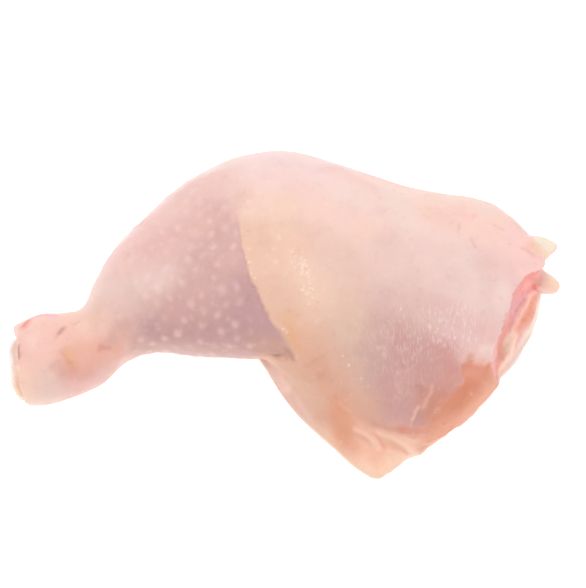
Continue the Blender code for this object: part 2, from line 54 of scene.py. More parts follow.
# ---------------------------------------------------------------- sizes of the form, mm
# Sections of the drumstick: back end (x, y), front end (x, y), heights of underside, widest line and top.
DRUM = np.array((
    (-97.1, -7.0, -92.7, -36.2, 4.0, 15.0, 26.0),
    (-88.0, -2.8, -84.3, -35.8, 3.0, 15.0, 29.0),
    (-79.5, -2.2, -75.1, -32.9, 3.5, 15.0, 28.0),
    (-72.5, 0.2, -64.5, -27.8, 4.5, 15.0, 27.0),
    (-68.0, 11.0, -55.5, -19.2, 4.0, 16.0, 31.0),
    (-61.7, 22.6, -45.0, -15.7, 2.0, 17.0, 36.0),
    (-51.0, 35.5, -31.5, -17.2, 0.0, 17.0, 38.5),
    (-36.3, 49.6, -19.5, -18.5, -0.5, 18.0, 41.0),
    (-18.9, 60.3, -9.0, -19.2, -0.5, 18.0, 41.5),
    (-1.5, 62.8, 3.0, -19.0, -0.5, 18.0, 41.0),
    (15.5, 59.5, 13.5, -17.5, 0.0, 18.0, 40.0),
))
KNEE_ROUND = (8.7, 9.95)
# Sections of the thigh at one x: back edge, front edge, crest, heights of underside, widest line back and front, top.
THIGH = np.array((
    (-16.0, 62.0, -14.0, 14.0, 0.0, 16.0, 12.0, 36.0),
    (-4.0, 63.7, -21.0, 12.5, 0.0, 17.0, 11.0, 38.0),
    (8.0, 63.1, -32.0, 11.5, 0.0, 17.0, 8.5, 40.5),
    (20.0, 58.3, -40.0, 11.5, 0.0, 17.0, 7.5, 42.0),
    (33.0, 53.1, -46.5, 9.5, 0.0, 17.0, 7.0, 42.0),
    (46.0, 48.0, -49.0, 6.5, 0.0, 17.0, 7.5, 41.5),
    (58.0, 46.0, -44.5, 4.5, 0.0, 16.5, 8.5, 40.0),
    (70.0, 44.5, -34.5, 3.5, 0.0, 16.0, 10.5, 38.0),
    (80.0, 40.6, -23.5, 2.5, 0.0, 15.5, 12.0, 35.5),
    (86.0, 34.9, -16.8, 3.0, 0.0, 14.8, 12.0, 34.1),
    (92.0, 31.0, -10.0, 3.5, 0.0, 14.0, 12.0, 32.5),
    (106.0, 27.0, -7.0, 5.0, 0.0, 13.0, 12.0, 30.5),
))
THIGH_ROUND = (-24.0, 7.0)
# The hip cut: (y, x) of its foot 4 mm up and of its upper lip 30 mm up.
HIP_FOOT = np.array(((-60.0, 96.0), (-40.0, 88.0), (-28.0, 80.5), (-22.0, 76.9), (-17.0, 80.4), (-12.5, 83.2), (-7.0, 85.6), (-3.0, 88.0), (1.0, 91.0), (7.0, 93.6),
                     (14.5, 94.8), (26.5, 93.4), (36.0, 89.0), (44.0, 83.0), (58.0, 70.5)))
HIP_LIP = np.array(((-60.0, 86.0), (-40.0, 78.0), (-28.0, 73.0), (-24.4, 72.6), (-20.4, 73.9), (-18.1, 75.1), (-13.8, 77.1), (-10.2, 78.7),
                    (-5.3, 81.2), (-2.2, 82.4), (2.0, 84.9), (5.6, 88.0), (7.3, 91.2), (9.0, 93.1), (11.2, 93.7), (14.0, 93.4), (17.0, 92.9),
                    (19.5, 92.0), (25.0, 88.6), (30.0, 84.6), (44.5, 71.5)))
# The fat flap's free edge from above.
FLAP = np.array((
    (-14.0, -2.0), (-9.7, -10.3), (-7.2, -15.2), (-5.3, -19.0), (-2.9, -23.5), (-0.2, -28.0), (2.5, -31.8), (6.0, -35.6),
    (11.2, -39.4), (15.6, -43.5), (19.8, -47.6), (24.2, -52.5), (27.9, -56.0), (31.1, -58.4), (33.4, -59.1), (35.6, -58.0),
    (40.4, -53.6), (45.2, -50.7), (48.6, -49.4), (49.9, -47.4), (53.4, -44.7), (58.1, -41.5), (65.1, -36.7), (69.5, -31.8),
    (73.5, -26.9), (76.9, -23.0), (76.1, -20.6), (79.6, -18.3), (85.9, -11.9), (90.0, -6.0),
))
FLAP_ROOT_LINE = ((86.0, 6.0), (60.0, 20.0), (20.0, 20.0), (-8.0, 12.0))
# Skin tags at the hip: outline from above, height of the middle at x = 90 and its slope, half thickness.
TAGS = (
    (((85.2, 19.2), (87.3, 21.3), (89.3, 22.7), (91.6, 23.7), (93.9, 23.9), (96.7, 23.4), (98.9, 22.2), (98.1, 20.1), (96.0, 17.1), (94.2, 15.3), (92.1, 13.7), (89.4, 12.7), (86.5, 14.3)),
     29.0, -0.55, 1.1),
    (((90.4, 12.8), (92.9, 13.6), (94.7, 12.9), (96.7, 11.9), (98.3, 10.4), (99.1, 8.6), (99.0, 6.8), (97.8, 5.3), (95.3, 5.0), (92.5, 4.8), (90.2, 6.1)),
     22.0, -0.2, 1.25),
)
# The bare fat at the lower right, beyond the skin's end: outline from above.
BARE = np.array(((46.5, -49.5), (49.6, -45.8), (54.7, -40.2), (59.9, -35.6), (62.6, -32.6), (61.4, -28.6), (64.8, -26.9), (68.4, -25.8), (72.5, -25.4),
                 (80.0, -24.0), (88.0, -34.0), (64.0, -60.0), (50.0, -62.0)))
# Where the thigh's skin laps over the drumstick, from above, back to front.
LAP = np.array(((-17.2, 40.0), (-17.1, 25.2), (-16.0, 19.8), (-14.9, 13.0), (-13.5, 7.4), (-11.9, 1.6),
                (-9.4, -3.6), (-6.9, -8.8), (-4.0, -13.3), (-0.8, -16.2), (1.5, -19.1), (3.1, -21.8), (4.8, -25.0)))
LAP_STEP, LAP_FADE = 1.5, 17.0
# The gristle cap of the hock.
CAP_CENTRE = np.array((-94.7, -23.0, 14.6))
CAP_HALF_WIDTH, CAP_HALF_HEIGHT, CAP_PROUD, CAP_GAP = 11.3, 9.3, 2.9, -0.12


# ---------------------------------------------------------------- mathematics of the form
def curve(xs, ys):
    """Smooth curve through points."""
    xs, ys = np.asarray(xs, float), np.asarray(ys, float)
    h = np.diff(xs)
    d = np.diff(ys) / h
    m = np.empty_like(ys)
    m[1:-1] = (d[:-1] * h[1:] + d[1:] * h[:-1]) / (h[:-1] + h[1:])
    m[0], m[-1] = d[0], d[-1]

    def at(x):
        x = np.clip(x, xs[0], xs[-1])
        i = np.clip(np.searchsorted(xs, x, side="right") - 1, 0, len(h) - 1)
        t = (x - xs[i]) / h[i]
        return ((2 * t**3 - 3 * t**2 + 1) * ys[i] + (t**3 - 2 * t**2 + t) * h[i] * m[i]
                + (-2 * t**3 + 3 * t**2) * ys[i + 1] + (t**3 - t**2) * h[i] * m[i + 1])

    return at


def step(a, b, x):
    t = np.clip((x - a) / (b - a), 0.0, 1.0)
    return t * t * (3.0 - 2.0 * t)


def join(a, b, r):
    """Union of two fields with a fillet of about r mm."""
    h = np.clip(0.5 + 0.5 * (b - a) / r, 0.0, 1.0)
    return b + (a - b) * h - r * h * (1.0 - h)


def trim(a, b, r):
    """Intersection with a rounded edge."""
    return -join(-a, -b, r)


def true_distance(f, h):
    g = np.gradient(f, h)
    return f / np.maximum(np.sqrt(g[0] ** 2 + g[1] ** 2 + g[2] ** 2), 1e-3)


def outline_distance(x, y, outline):
    """Signed distance to a closed outline seen from above, negative inside."""
    d = np.full(x.shape, 1e9)
    inside = np.zeros(x.shape, bool)
    for a, b in zip(outline, np.roll(outline, -1, 0)):
        e = b - a
        size = e @ e
        if size < 1e-9:
            continue
        t = np.clip(((x - a[0]) * e[0] + (y - a[1]) * e[1]) / size, 0, 1)
        d = np.minimum(d, (x - a[0] - t * e[0]) ** 2 + (y - a[1] - t * e[1]) ** 2)
        inside ^= ((a[1] > y) != (b[1] > y)) & (x < (b[0] - a[0]) * (y - a[1]) / (b[1] - a[1] + 1e-12) + a[0])
    return np.where(inside, -np.sqrt(d), np.sqrt(d))


def smooth_path(points, count):
    points = np.asarray(points, float)
    k = np.arange(len(points))
    t = np.linspace(0, len(points) - 1, count)
    return np.stack([curve(k, points[:, i])(t) for i in range(points.shape[1])], 1)


def path_distance(p, path):
    """Distance of points to a path, and how far along it they are from 0 to 1."""
    path = np.atleast_2d(np.asarray(path, float))
    if len(path) == 1:
        return np.linalg.norm(p - path[0], axis=1), np.full(len(p), 0.5)
    if len(path) > 2:
        path = smooth_path(path, 3 * len(path))
    best = np.full(len(p), 1e9)
    along = np.zeros(len(p))
    lengths = np.linalg.norm(np.diff(path, axis=0), axis=1)
    starts = np.concatenate([[0.0], np.cumsum(lengths)])
    for a, b, start, size in zip(path, path[1:], starts, lengths):
        t = np.clip((p - a) @ (b - a) / (size * size), 0, 1)
        d = ((p - a - t[:, None] * (b - a)) ** 2).sum(1)
        near = d < best
        best = np.where(near, d, best)
        along = np.where(near, (start + t * size) / starts[-1], along)
    return np.sqrt(best), along


class Noise:
    """Smooth noise from -1 to 1 on a fixed lattice."""

    def __init__(self, seed):
        self.table = np.random.default_rng(seed).uniform(-1, 1, (48, 48, 48))

    def __call__(self, p, size):
        size = np.asarray(size, float)
        q = p / size + 500.0
        i = np.floor(q).astype(int)
        w = q - i
        w = w * w * w * (w * (w * 6 - 15) + 10)
        total = np.zeros(len(p))
        for a in (0, 1):
            for b in (0, 1):
                for c in (0, 1):
                    k = (i + (a, b, c)) % 48
                    total += (self.table[k[:, 0], k[:, 1], k[:, 2]]
                              * np.where(a, w[:, 0], 1 - w[:, 0]) * np.where(b, w[:, 1], 1 - w[:, 1])
                              * np.where(c, w[:, 2], 1 - w[:, 2]))
        return total


def lumps(seed, p, size, octaves=3):
    """Layered noise."""
    total, weight, full = 0.0, 1.0, 0.0
    for k in range(octaves):
        total = total + weight * Noise(seed + 17 * k)(p, np.asarray(size, float) / 2**k)
        full += weight
        weight *= 0.5
    return total / full


def drum_place(x, y):
    """Place of a point on the drumstick: section number, -1..1 across it, half width, and the section's heights."""
    rows = np.arange(len(DRUM))
    at = [curve(rows, DRUM[:, i]) for i in range(7)]
    low, high = np.zeros_like(x), np.full_like(x, len(DRUM) - 1.0)
    for _ in range(22):
        mid = 0.5 * (low + high)
        xa, ya, xb, yb = (f(mid) for f in at[:4])
        before = (xa - xb) * (y - yb) - (ya - yb) * (x - xb) < 0
        low, high = np.where(before, mid, low), np.where(before, high, mid)
    t = 0.5 * (low + high)
    xa, ya, xb, yb, under, wide, top = (f(t) for f in at)
    half = 0.5 * np.hypot(xa - xb, ya - yb)
    s = ((x - 0.5 * (xa + xb)) * (xa - xb) + (y - 0.5 * (ya + yb)) * (ya - yb)) / (2 * half * half)
    return t, s, half, under, wide, top


def hock_directions():
    a, b = DRUM[0][:2], DRUM[0][2:4]
    side = (a - b) / np.hypot(*(a - b))
    return np.array((side[0], side[1], 0.0)), np.array((-side[1], side[0], 0.0))


def hip_x(y, z):
    """Where the hip cut lies along x."""
    w = (z - 4.0) / 26.0
    return curve(*HIP_FOOT.T)(y) * (1.0 - w) + curve(*HIP_LIP.T)(y) * w


def lap_distance(x, y):
    """How far a point lies past the line where the thigh's skin begins, mm."""
    line = LAP[::-1]
    at = curve(line[:, 1], line[:, 0])
    slope = at(y + 0.5) - at(y - 0.5)
    return (x - at(y)) / np.sqrt(1.0 + slope**2)


def cap_field(p, grow=0.0):
    """The gristle cap: a double-lobed dome seated in the hock's cut face."""
    side, out = hock_directions()
    d = p - CAP_CENTRE
    s, u, o = d @ side, d[..., 2], d @ out
    w, h = CAP_HALF_WIDTH + grow, CAP_HALF_HEIGHT + grow
    pinch = 1.0 - 0.06 * np.exp(-(((s - 0.8) / (0.34 * w)) ** 2))
    r = (np.abs(s / w) ** 2.2 + np.abs(u / (h * pinch)) ** 2.2) ** (1 / 2.2)
    face = (CAP_PROUD + grow) * (1.0 - 0.13 * np.exp(-(((s - 0.8) / (0.2 * w)) ** 2)) + 0.03 * s / w) - 2.5 * r**3.2
    f = trim((r - 1.0) * h * 0.92, o - face, 1.3)
    return trim(f, -(o + 4.4 + grow), 0.6)


# ---------------------------------------------------------------- marks on the form, mm
# Ridges and grooves: path, half width, height (below zero for a groove). Their ends run out.
STROKES = (
    ("shin ridge", ((-70.8, -4.9, 24.4), (-59.6, -3.9, 31.6), (-50.6, -2.5, 35.1), (-40.0, 1.7, 37.6), (-29.5, 6.8, 40.0)), 4.5, 0.8),
    ("hollow above the fold", ((-16.8, 50.0, 35.0), (-17.2, 36.5, 39.7), (-17.1, 24.5, 41.2)), 3.6, -0.55),
    ("thigh ridge", ((16.7, 47.5, 34.0), (29.2, 40.4, 36.0), (41.6, 32.3, 37.6), (55.5, 21.7, 38.7), (65.7, 10.0, 38.6), (72.1, -6.4, 36.4)), 5.5, 0.8),
    ("behind the thigh ridge", ((26.0, 49.0, 31.0), (44.0, 41.5, 32.0), (58.0, 33.0, 34.5), (70.0, 22.0, 35.5)), 4.0, -0.5),
    ("notch under the knee", ((1.2, -20.3, 24.4), (2.8, -21.6, 24.0)), 1.4, -0.9),
    ("edge of the drumstick over the flap", ((-9.2, -19.0, 18.8), (-5.0, -19.2, 18.6), (-2.0, -19.8, 19.4), (1.2, -21.2, 22.0), (3.4, -22.6, 23.8)), 1.0, -0.5),
    ("lower edge of the drumstick", ((-12.0, -19.2, 20.8), (-6.0, -19.2, 20.6), (-2.0, -19.6, 21.6), (1.4, -20.8, 24.2)), 1.3, 0.35),
    ("hock crease 1", ((-80.2, -16.6, 28.4), (-79.2, -14.6, 28.1), (-78.3, -12.4, 27.6)), 0.9, -0.5),
    ("hock fold 1", ((-78.9, -18.0, 28.4), (-76.9, -14.0, 27.9), (-75.4, -10.4, 26.8)), 1.3, 0.3),
    ("hock crease 2", ((-74.5, -11.1, 26.6), (-72.4, -7.9, 25.5)), 0.9, -0.35),
    ("hock crease 3", ((-82.0, -28.4, 26.6), (-79.8, -26.0, 27.2), (-78.6, -24.6, 27.4)), 1.0, -0.4),
    ("hock crease 5", ((-64.6, -20.2, 24.3), (-63.4, -18.4, 25.0), (-61.6, -18.2, 24.7)), 1.2, -0.3),
    ("hock dimple", ((-83.6, -16.4, 28.4),), 1.1, -0.25),
    ("tendon groove", ((-74.0, -28.5, 24.0), (-69.5, -26.0, 22.4), (-62.0, -21.6, 21.0)), 2.2, -0.4),
    ("tan hollow", ((-77.0, -27.4, 25.6), (-75.4, -24.6, 26.4)), 2.4, -0.5),
    ("knuckle groove", ((-92.6, -9.2, 24.0), (-91.4, -12.5, 26.6), (-91.0, -18.0, 27.8), (-91.0, -25.0, 27.2), (-90.6, -31.0, 23.8)), 1.5, -0.2),
    ("front crease", ((8.8, -26.9, 24.3), (12.3, -25.8, 27.6), (15.8, -24.4, 30.4)), 0.8, -0.4),
    ("front fold", ((9.8, -28.3, 24.3), (13.2, -27.2, 27.4), (16.4, -26.0, 29.8)), 1.0, 0.25),
    ("front crease 2", ((-5.6, -18.8, 10.0), (-3.4, -19.4, 8.0), (-1.6, -21.0, 10.0)), 0.9, -0.25),
    ("front dent", ((14.4, -29.6, 24.9), (12.6, -29.9, 23.6)), 2.0, -0.35),
    ("thigh crease 1", ((62.5, 23.8, 37.0), (62.2, 19.5, 38.0), (62.0, 16.9, 38.5)), 0.75, -0.32),
    ("thigh fold 1", ((63.9, 23.0, 37.0), (63.6, 19.5, 37.9), (63.4, 17.0, 38.4)), 0.8, 0.22),
    ("thigh crease 2", ((60.0, 24.0, 37.4), (57.6, 22.3, 38.1)), 0.75, -0.25),
    ("thigh crease 3", ((66.5, 17.6, 37.6), (67.9, 13.6, 37.9)), 0.8, -0.3),
    ("thigh crease 4", ((75.4, 25.3, 33.6), (77.2, 24.3, 33.3), (78.6, 23.8, 33.1)), 0.75, -0.3),
    ("thigh crease 5", ((45.6, 9.4, 41.5), (44.8, 6.2, 41.5)), 0.75, -0.2),
    ("streak A", ((44.6, -45.6, 19.2), (44.9, -44.9, 20.4), (45.6, -43.8, 22.0), (45.9, -42.9, 23.1), (46.6, -41.8, 24.2)), 0.6, 0.6),
    ("beside streak A", ((45.8, -45.8, 18.6), (46.8, -44.0, 20.6), (47.8, -42.2, 22.9)), 0.9, -0.5),
    ("streak B", ((47.6, -42.8, 23.0), (49.0, -41.2, 24.8), (49.6, -39.6, 26.4), (50.9, -38.0, 27.6), (51.2, -36.2, 28.8)), 0.9, 0.5),
    ("dark hollow", ((48.4, -38.4, 27.0), (46.2, -36.6, 28.8)), 1.3, -0.4),
    ("muscle wrinkle 1", ((34.6, -20.0, 36.6), (36.0, -23.2, 35.4), (35.2, -26.4, 34.2)), 0.8, 0.32),
    ("muscle wrinkle 2", ((39.6, -31.0, 31.4), (39.0, -34.6, 29.4), (40.2, -37.6, 27.2)), 0.8, 0.3),
    ("muscle wrinkle 3", ((43.8, -30.0, 31.6), (43.2, -33.6, 29.6)), 0.8, 0.26),
    ("muscle wrinkle 4", ((31.4, -22.0, 34.6), (30.4, -25.4, 33.4)), 0.8, 0.26),
    ("small fold 1", ((20.0, -37.5, 17.6), (23.2, -39.8, 16.1)), 0.8, 0.4),
    ("small fold 2", ((24.6, -41.4, 14.2), (27.2, -43.4, 12.3)), 0.8, 0.4),
    ("tip lobe A", ((25.8, -43.5, 9.8), (28.6, -45.0, 9.8), (31.1, -46.8, 8.7), (32.9, -49.3, 6.5)), 1.2, 1.25),
    ("tip groove A", ((24.4, -45.4, 8.4), (27.2, -47.0, 7.8), (29.8, -48.8, 6.8)), 0.8, -0.45),
    ("tip groove AB", ((31.6, -45.4, 11.4), (33.4, -47.8, 9.6), (34.6, -50.0, 7.0)), 0.8, -0.5),
    ("tip lobe B", ((33.6, -45.7, 11.2), (37.3, -46.7, 11.4), (41.6, -48.4, 8.6), (46.0, -50.6, 4.6)), 1.2, 1.15),
    ("tip groove BC", ((35.6, -49.0, 9.0), (39.4, -50.0, 8.2), (43.4, -51.0, 6.0)), 0.8, -0.45),
    ("tip lobe C", ((34.4, -50.4, 6.0), (38.6, -51.0, 5.4), (42.4, -52.0, 3.8)), 1.1, 0.5),
    ("above tip lobes", ((25.0, -41.4, 13.2), (31.0, -42.4, 13.4), (37.5, -44.2, 13.4), (43.4, -46.8, 11.8)), 1.6, -0.45),
    ("mauve patch", ((59.4, -30.6, 29.6), (58.4, -34.2, 27.0)), 2.6, 0.5),
    ("pale lobe", ((64.0, -25.2, 31.3), (69.1, -22.6, 31.0), (72.4, -19.6, 31.0)), 2.6, 0.6),
    ("outer edge of the bare fat", ((55.0, -44.6, 14.0), (62.0, -39.8, 15.0), (69.0, -33.5, 15.5), (73.0, -29.5, 16.0)), 3.0, 0.35),
    ("hollow of the bare fat", ((60.0, -38.0, 22.6), (65.0, -34.0, 25.0), (67.5, -30.0, 26.8)), 3.4, -0.6),
    # in the hip cut
    ("membrane lobe", ((89.1, 5.5, 15.3), (87.5, 2.9, 15.6), (85.5, -0.8, 15.6), (84.1, -3.1, 13.8), (82.4, -6.5, 14.0)), 1.6, 0.8),
    ("groove below the membrane", ((90.4, 4.6, 12.6), (88.6, 1.6, 12.6), (86.6, -2.0, 12.0), (85.0, -5.4, 11.2)), 1.0, -0.4),
    ("groove beside the membrane", ((87.6, 5.0, 18.6), (85.4, 1.0, 18.8), (83.2, -3.4, 17.6), (81.4, -7.8, 15.6)), 1.2, -0.5),
    ("groove beside the cream fat", ((80.8, -10.4, 14.8), (79.0, -14.0, 13.8), (77.6, -17.8, 12.0)), 1.1, -0.5),
    ("cream fat", ((83.7, -8.2, 10.6), (82.4, -11.6, 11.6), (80.8, -14.9, 11.0), (79.4, -17.4, 10.1)), 2.4, 0.8),
    ("back muscle 1", ((88.6, 17.0, 22.0), (87.8, 23.6, 16.0), (88.6, 28.0, 9.0)), 3.6, 1.6),
    ("back seam", ((85.6, 20.0, 26.0), (85.0, 28.0, 20.0), (85.2, 33.5, 11.0)), 1.2, -0.8),
    ("back muscle 2", ((82.6, 29.6, 24.0), (82.0, 36.0, 17.0), (82.6, 39.6, 9.0)), 3.4, 1.4),
    ("edge fat", ((88.0, 31.0, 6.0), (84.0, 39.0, 5.4), (77.0, 44.0, 5.4)), 2.2, 1.0),
)
# Small wet beads of fat on the skin, painted paler in place of their glints: path, how many, how far they stray,
# radius, height.
BEADS = (
    ("by the fold", ((-14.6, 18.0, 42.2),), 1, 0.1, 0.9, 0.2),
    ("by the fold", ((-13.4, 7.6, 41.1), (-12.5, 6.0, 41.0)), 4, 0.5, 0.6, 0.25),
    ("by the fold", ((-11.4, 2.2, 40.2), (-10.6, 0.6, 39.8)), 3, 0.4, 0.6, 0.25),
    ("by the fold", ((-8.0, -5.0, 37.4),), 1, 0.1, 0.7, 0.2),
    ("speckled line", ((3.6, 10.0, 41.2), (6.6, 6.2, 40.8), (8.2, 2.0, 40.2), (8.8, -3.0, 39.0), (9.4, -7.4, 37.7)), 40, 2.2, 0.6, 0.26),
    ("speckled line", ((3.0, 4.0, 40.9), (9.0, 3.0, 40.3)), 16, 1.7, 0.5, 0.24),
    ("on the thigh", ((20.5, -25.5, 31.4),), 1, 0.1, 0.6, 0.25),
    ("on the thigh", ((22.5, -28.6, 29.8),), 1, 0.1, 0.8, 0.3),
    ("on the thigh", ((27.1, -32.8, 28.0),), 1, 0.1, 0.75, 0.25),
    ("on the thigh", ((36.3, 4.4, 41.8),), 1, 0.1, 0.7, 0.25),
    ("on the thigh", ((40.7, -12.0, 39.5),), 1, 0.1, 0.7, 0.25),
    ("near the knee", ((0.2, -14.2, 30.7), (1.5, -15.6, 29.7)), 4, 0.35, 0.5, 0.3),
)


def lap_place(p):
    """How far a point lies past the ragged edge of the thigh's skin, mm."""
    x, y, z = p.T
    past = lap_distance(x, y) + (0.26 * Noise(3)(p, 3.0) + 0.18 * Noise(4)(p, 1.35)) * step(30.0, 16.0, y)
    corner = 19.0 + 0.75 * np.maximum(x + 2.5, 0.0)
    flap = step(-1.3, 1.3, corner - z) * step(-1.0, 1.0, -13.0 - y) * step(-12.0, -10.4, x)
    return np.where(flap > 0.01, np.maximum(past, 6.0 * np.minimum(flap, 1.0) - 3.0), past)


def bare_place(p):
    """How far a point lies outside the bare fat, mm; negative inside."""
    x, y, z = p.T
    return outline_distance(x, y, BARE) + 0.5 * Noise(5)(p, 2.6) + 0.3 * Noise(6)(p, 1.2)


def relief(p, up):
    """How far the surface is raised at points, mm. up is the upward part of the surface's direction."""
    x, y, z = p.T
    upper = step(-0.15, 0.3, up)
    past = lap_place(p)
    reach = step(44.0, 20.0, y) * step(-29.0, -22.0, y) * step(12.0, 16.0, z)
    height = LAP_STEP * (0.62 + 0.38 * step(10.0, -12.0, y))
    lap = step(-0.9, 0.8, past) * np.exp(-np.maximum(past - 0.6, 0.0) / LAP_FADE)
    raised = height * lap * upper * reach
    near = np.flatnonzero(x > 42.0)
    bare = bare_place(p[near])
    raised[near] += upper[near] * step(4.0, 9.0, z[near]) * (0.32 * np.exp(-(((bare - 1.0) / 1.1) ** 2)) - 0.75 * step(0.8, -0.7, bare))
    for name, path, width, height in STROKES:
        path = np.array(path, float)
        lo, hi = path.min(0) - 3.2 * width, path.max(0) + 3.2 * width
        near = np.flatnonzero(((p > lo) & (p < hi)).all(1))
        if not len(near):
            continue
        d, along = path_distance(p[near], path)
        ends = step(-0.02, 0.22, along) * step(1.02, 0.78, along) if len(path) > 1 else 1.0
        raised[near] += height * np.exp(-((d / width) ** 2)) * (0.35 + 0.65 * ends)
    free = step(0.4, 3.0, z)                               # the resting face stays flat
    raised += free * 0.34 * lumps(11, p, 15.0, 2)
    fat = np.exp(-((np.linalg.norm((p - (38.0, -50.0, 8.0)) / (17.0, 9.0, 9.0), axis=1)) ** 2))
    fat += np.exp(-((np.linalg.norm((p - (64.0, -33.0, 22.0)) / (12.0, 8.0, 9.0), axis=1)) ** 2))
    raised += free * 0.4 * np.clip(fat, 0, 1) * lumps(21, p, 4.2, 2)
    return raised


# ---------------------------------------------------------------- the skin surface
def leg_field():
    count = np.ceil((HIGH - LOW) / CELL).astype(int) + 1
    gx, gy, gz = (LOW[i] + CELL * np.arange(count[i]) for i in range(3))
    x, y = np.meshgrid(gx, gy, indexing="ij")
    z = gz[None, None, :]
    up = lambda q: q[:, :, None]
    # drumstick
    t, s, half, under, wide, top = drum_place(x, y)
    q = np.where(z > up(wide), (z - up(wide)) / up(top - wide), (up(wide) - z) / up(wide - under))
    close = np.clip((t - KNEE_ROUND[0]) / (KNEE_ROUND[1] - KNEE_ROUND[0]), 0, 2)
    n = 2.15
    drum = true_distance((np.abs(up(s)) ** n + np.abs(q) ** n + up(close) ** 2.2) ** (1 / n) - 1, CELL)
    side, out = hock_directions()
    centre = 0.5 * (DRUM[0][:2] + DRUM[0][2:4])
    beyond = (x - centre[0]) * out[0] + (y - centre[1]) * out[1]
    across = (x - centre[0]) * side[0] + (y - centre[1]) * side[1]
    beyond += 1.0 * step(15.0, 9.0, across) * step(-13.0, -5.0, across) - 0.5 * step(11.5, 14.5, across) + 1.8 * step(-10.5, -15.0, across)
    drum = trim(drum, np.broadcast_to(up(beyond), drum.shape), 2.0)
    # thigh
    back, front, crest, under, wide_b, wide_f, top = (curve(THIGH[:, 0], THIGH[:, i])(x) for i in range(1, 8))
    behind = y > crest
    s = np.where(behind, (y - crest) / (back - crest), (crest - y) / (crest - front))
    blend = np.sqrt(np.clip(np.abs(s), 0, 1))
    wide = np.where(behind, wide_b, wide_f) * blend + 0.5 * (wide_b + wide_f) * (1 - blend)
    n = np.where(behind, 2.2, 1.95)
    q = np.where(z > up(wide), (z - up(wide)) / up(top - wide), (up(wide) - z) / up(wide - under))
    close = np.clip((THIGH_ROUND[1] - x) / (THIGH_ROUND[1] - THIGH_ROUND[0]), 0, 3)
    shell = true_distance((np.abs(up(s)) ** up(n) + np.abs(q) ** up(n) + up(close) ** 2.2) ** (1 / up(n)) - 1, CELL)
    wave = np.stack(np.meshgrid((0.0,), gy, gz, indexing="ij"), -1).reshape(-1, 3)
    wave = (0.28 * Noise(91)(wave, 4.6) + 0.16 * Noise(92)(wave, 2.0)).reshape(1, len(gy), len(gz))
    cut = true_distance(up(x) - hip_x(up(y), z), CELL) + wave
    thigh = trim(shell, cut, 1.6)
    # fat flap
    outline = np.concatenate([smooth_path(FLAP, 80), FLAP_ROOT_LINE])
    past = outline_distance(x, y, outline)
    edge = np.stack((x, y, 0.0 * x), -1).reshape(-1, 3)
    past += (0.3 * Noise(93)(edge, 4.0) + 0.22 * Noise(94)(edge, 1.8)).reshape(x.shape) * step(20.0, 40.0, x)
    thick = 3.0 + 8.0 * step(0, -24.0 + 11.0 * step(20.0, 8.0, x), past)
    slab = np.abs(z - up(thick) * 0.5) - up(thick) * 0.5
    flap = trim(np.broadcast_to(up(past), slab.shape), slab, 2.0)
    flap = trim(flap, cut, 2.0)
    f = join(drum, thigh, 2.0 + 6.0 * up(step(-20, 5, y)))
    f = join(f, flap, 6.5 + 6.5 * up(step(2.0, 12.0, x)) - 6.0 * up(step(20.0, 40.0, x)))
    # the bare meat of the hip cut lies behind the skin's lip
    inner = join(shell, flap, 5.0) + 1.1 + 0.8 * up(step(14.0, 22.0, y))
    pocket = trim(inner, -(cut - 0.8 + 2.8 * step(6.0, 16.0, z) * step(-22.5, -15.0, up(y))), 0.9)
    f = trim(f, -pocket, 0.5)
    # tags
    part = (slice(int((80 - LOW[0]) / CELL), None), slice(int((4 - LOW[1]) / CELL), int((36 - LOW[1]) / CELL)), slice(0, int((34 - LOW[2]) / CELL)))
    tx, ty = np.meshgrid(gx[part[0]], gy[part[1]], indexing="ij")
    for outline, height, slope, half in TAGS:
        past = outline_distance(tx, ty, smooth_path(np.array(outline), 40))
        middle = height + slope * (tx - 90.0) + 0.5 * np.sin(0.8 * ty + 0.4 * tx)
        slab = np.abs(gz[part[2]] - up(middle)) - up(half + 0.9 * step(97.0, 88.0, tx))
        tag = trim(np.broadcast_to(up(past) - 0.15, slab.shape), slab, 1.2)
        f[part] = join(f[part], tag, 2.6)
    # marks, only near the surface
    gradient = np.gradient(f, CELL)
    close = np.argwhere(np.abs(f) < 3.4)
    index = tuple(close.T)
    p = LOW + CELL * close
    slope = np.stack([g[index] for g in gradient], 1)
    slope /= np.maximum(np.linalg.norm(slope, axis=1, keepdims=True), 1e-6)
    f[index] -= relief(p, slope[:, 2])
    # socket of the gristle cap
    part = (slice(0, int((-84 - LOW[0]) / CELL)), slice(int((-42 - LOW[1]) / CELL), int((4 - LOW[1]) / CELL)), slice(0, int((34 - LOW[2]) / CELL)))
    d = np.stack(np.meshgrid(gx[part[0]], gy[part[1]], gz[part[2]], indexing="ij"), -1)
    f[part] = trim(f[part], -cap_field(d, CAP_GAP), 1.1)
    return trim(f, np.broadcast_to(-z, f.shape), 0.6), inner, cut


def sample(grid, p):
    """Values of a field of the skin's grid at points."""
    q = (p - LOW) / CELL
    i = np.clip(np.floor(q).astype(int), 0, np.array(grid.shape) - 2)
    w = q - i
    total = np.zeros(len(p))
    for a in (0, 1):
        for b in (0, 1):
            for c in (0, 1):
                total += (grid[i[:, 0] + a, i[:, 1] + b, i[:, 2] + c] * np.where(a, w[:, 0], 1 - w[:, 0])
                          * np.where(b, w[:, 1], 1 - w[:, 1]) * np.where(c, w[:, 2], 1 - w[:, 2]))
    return total


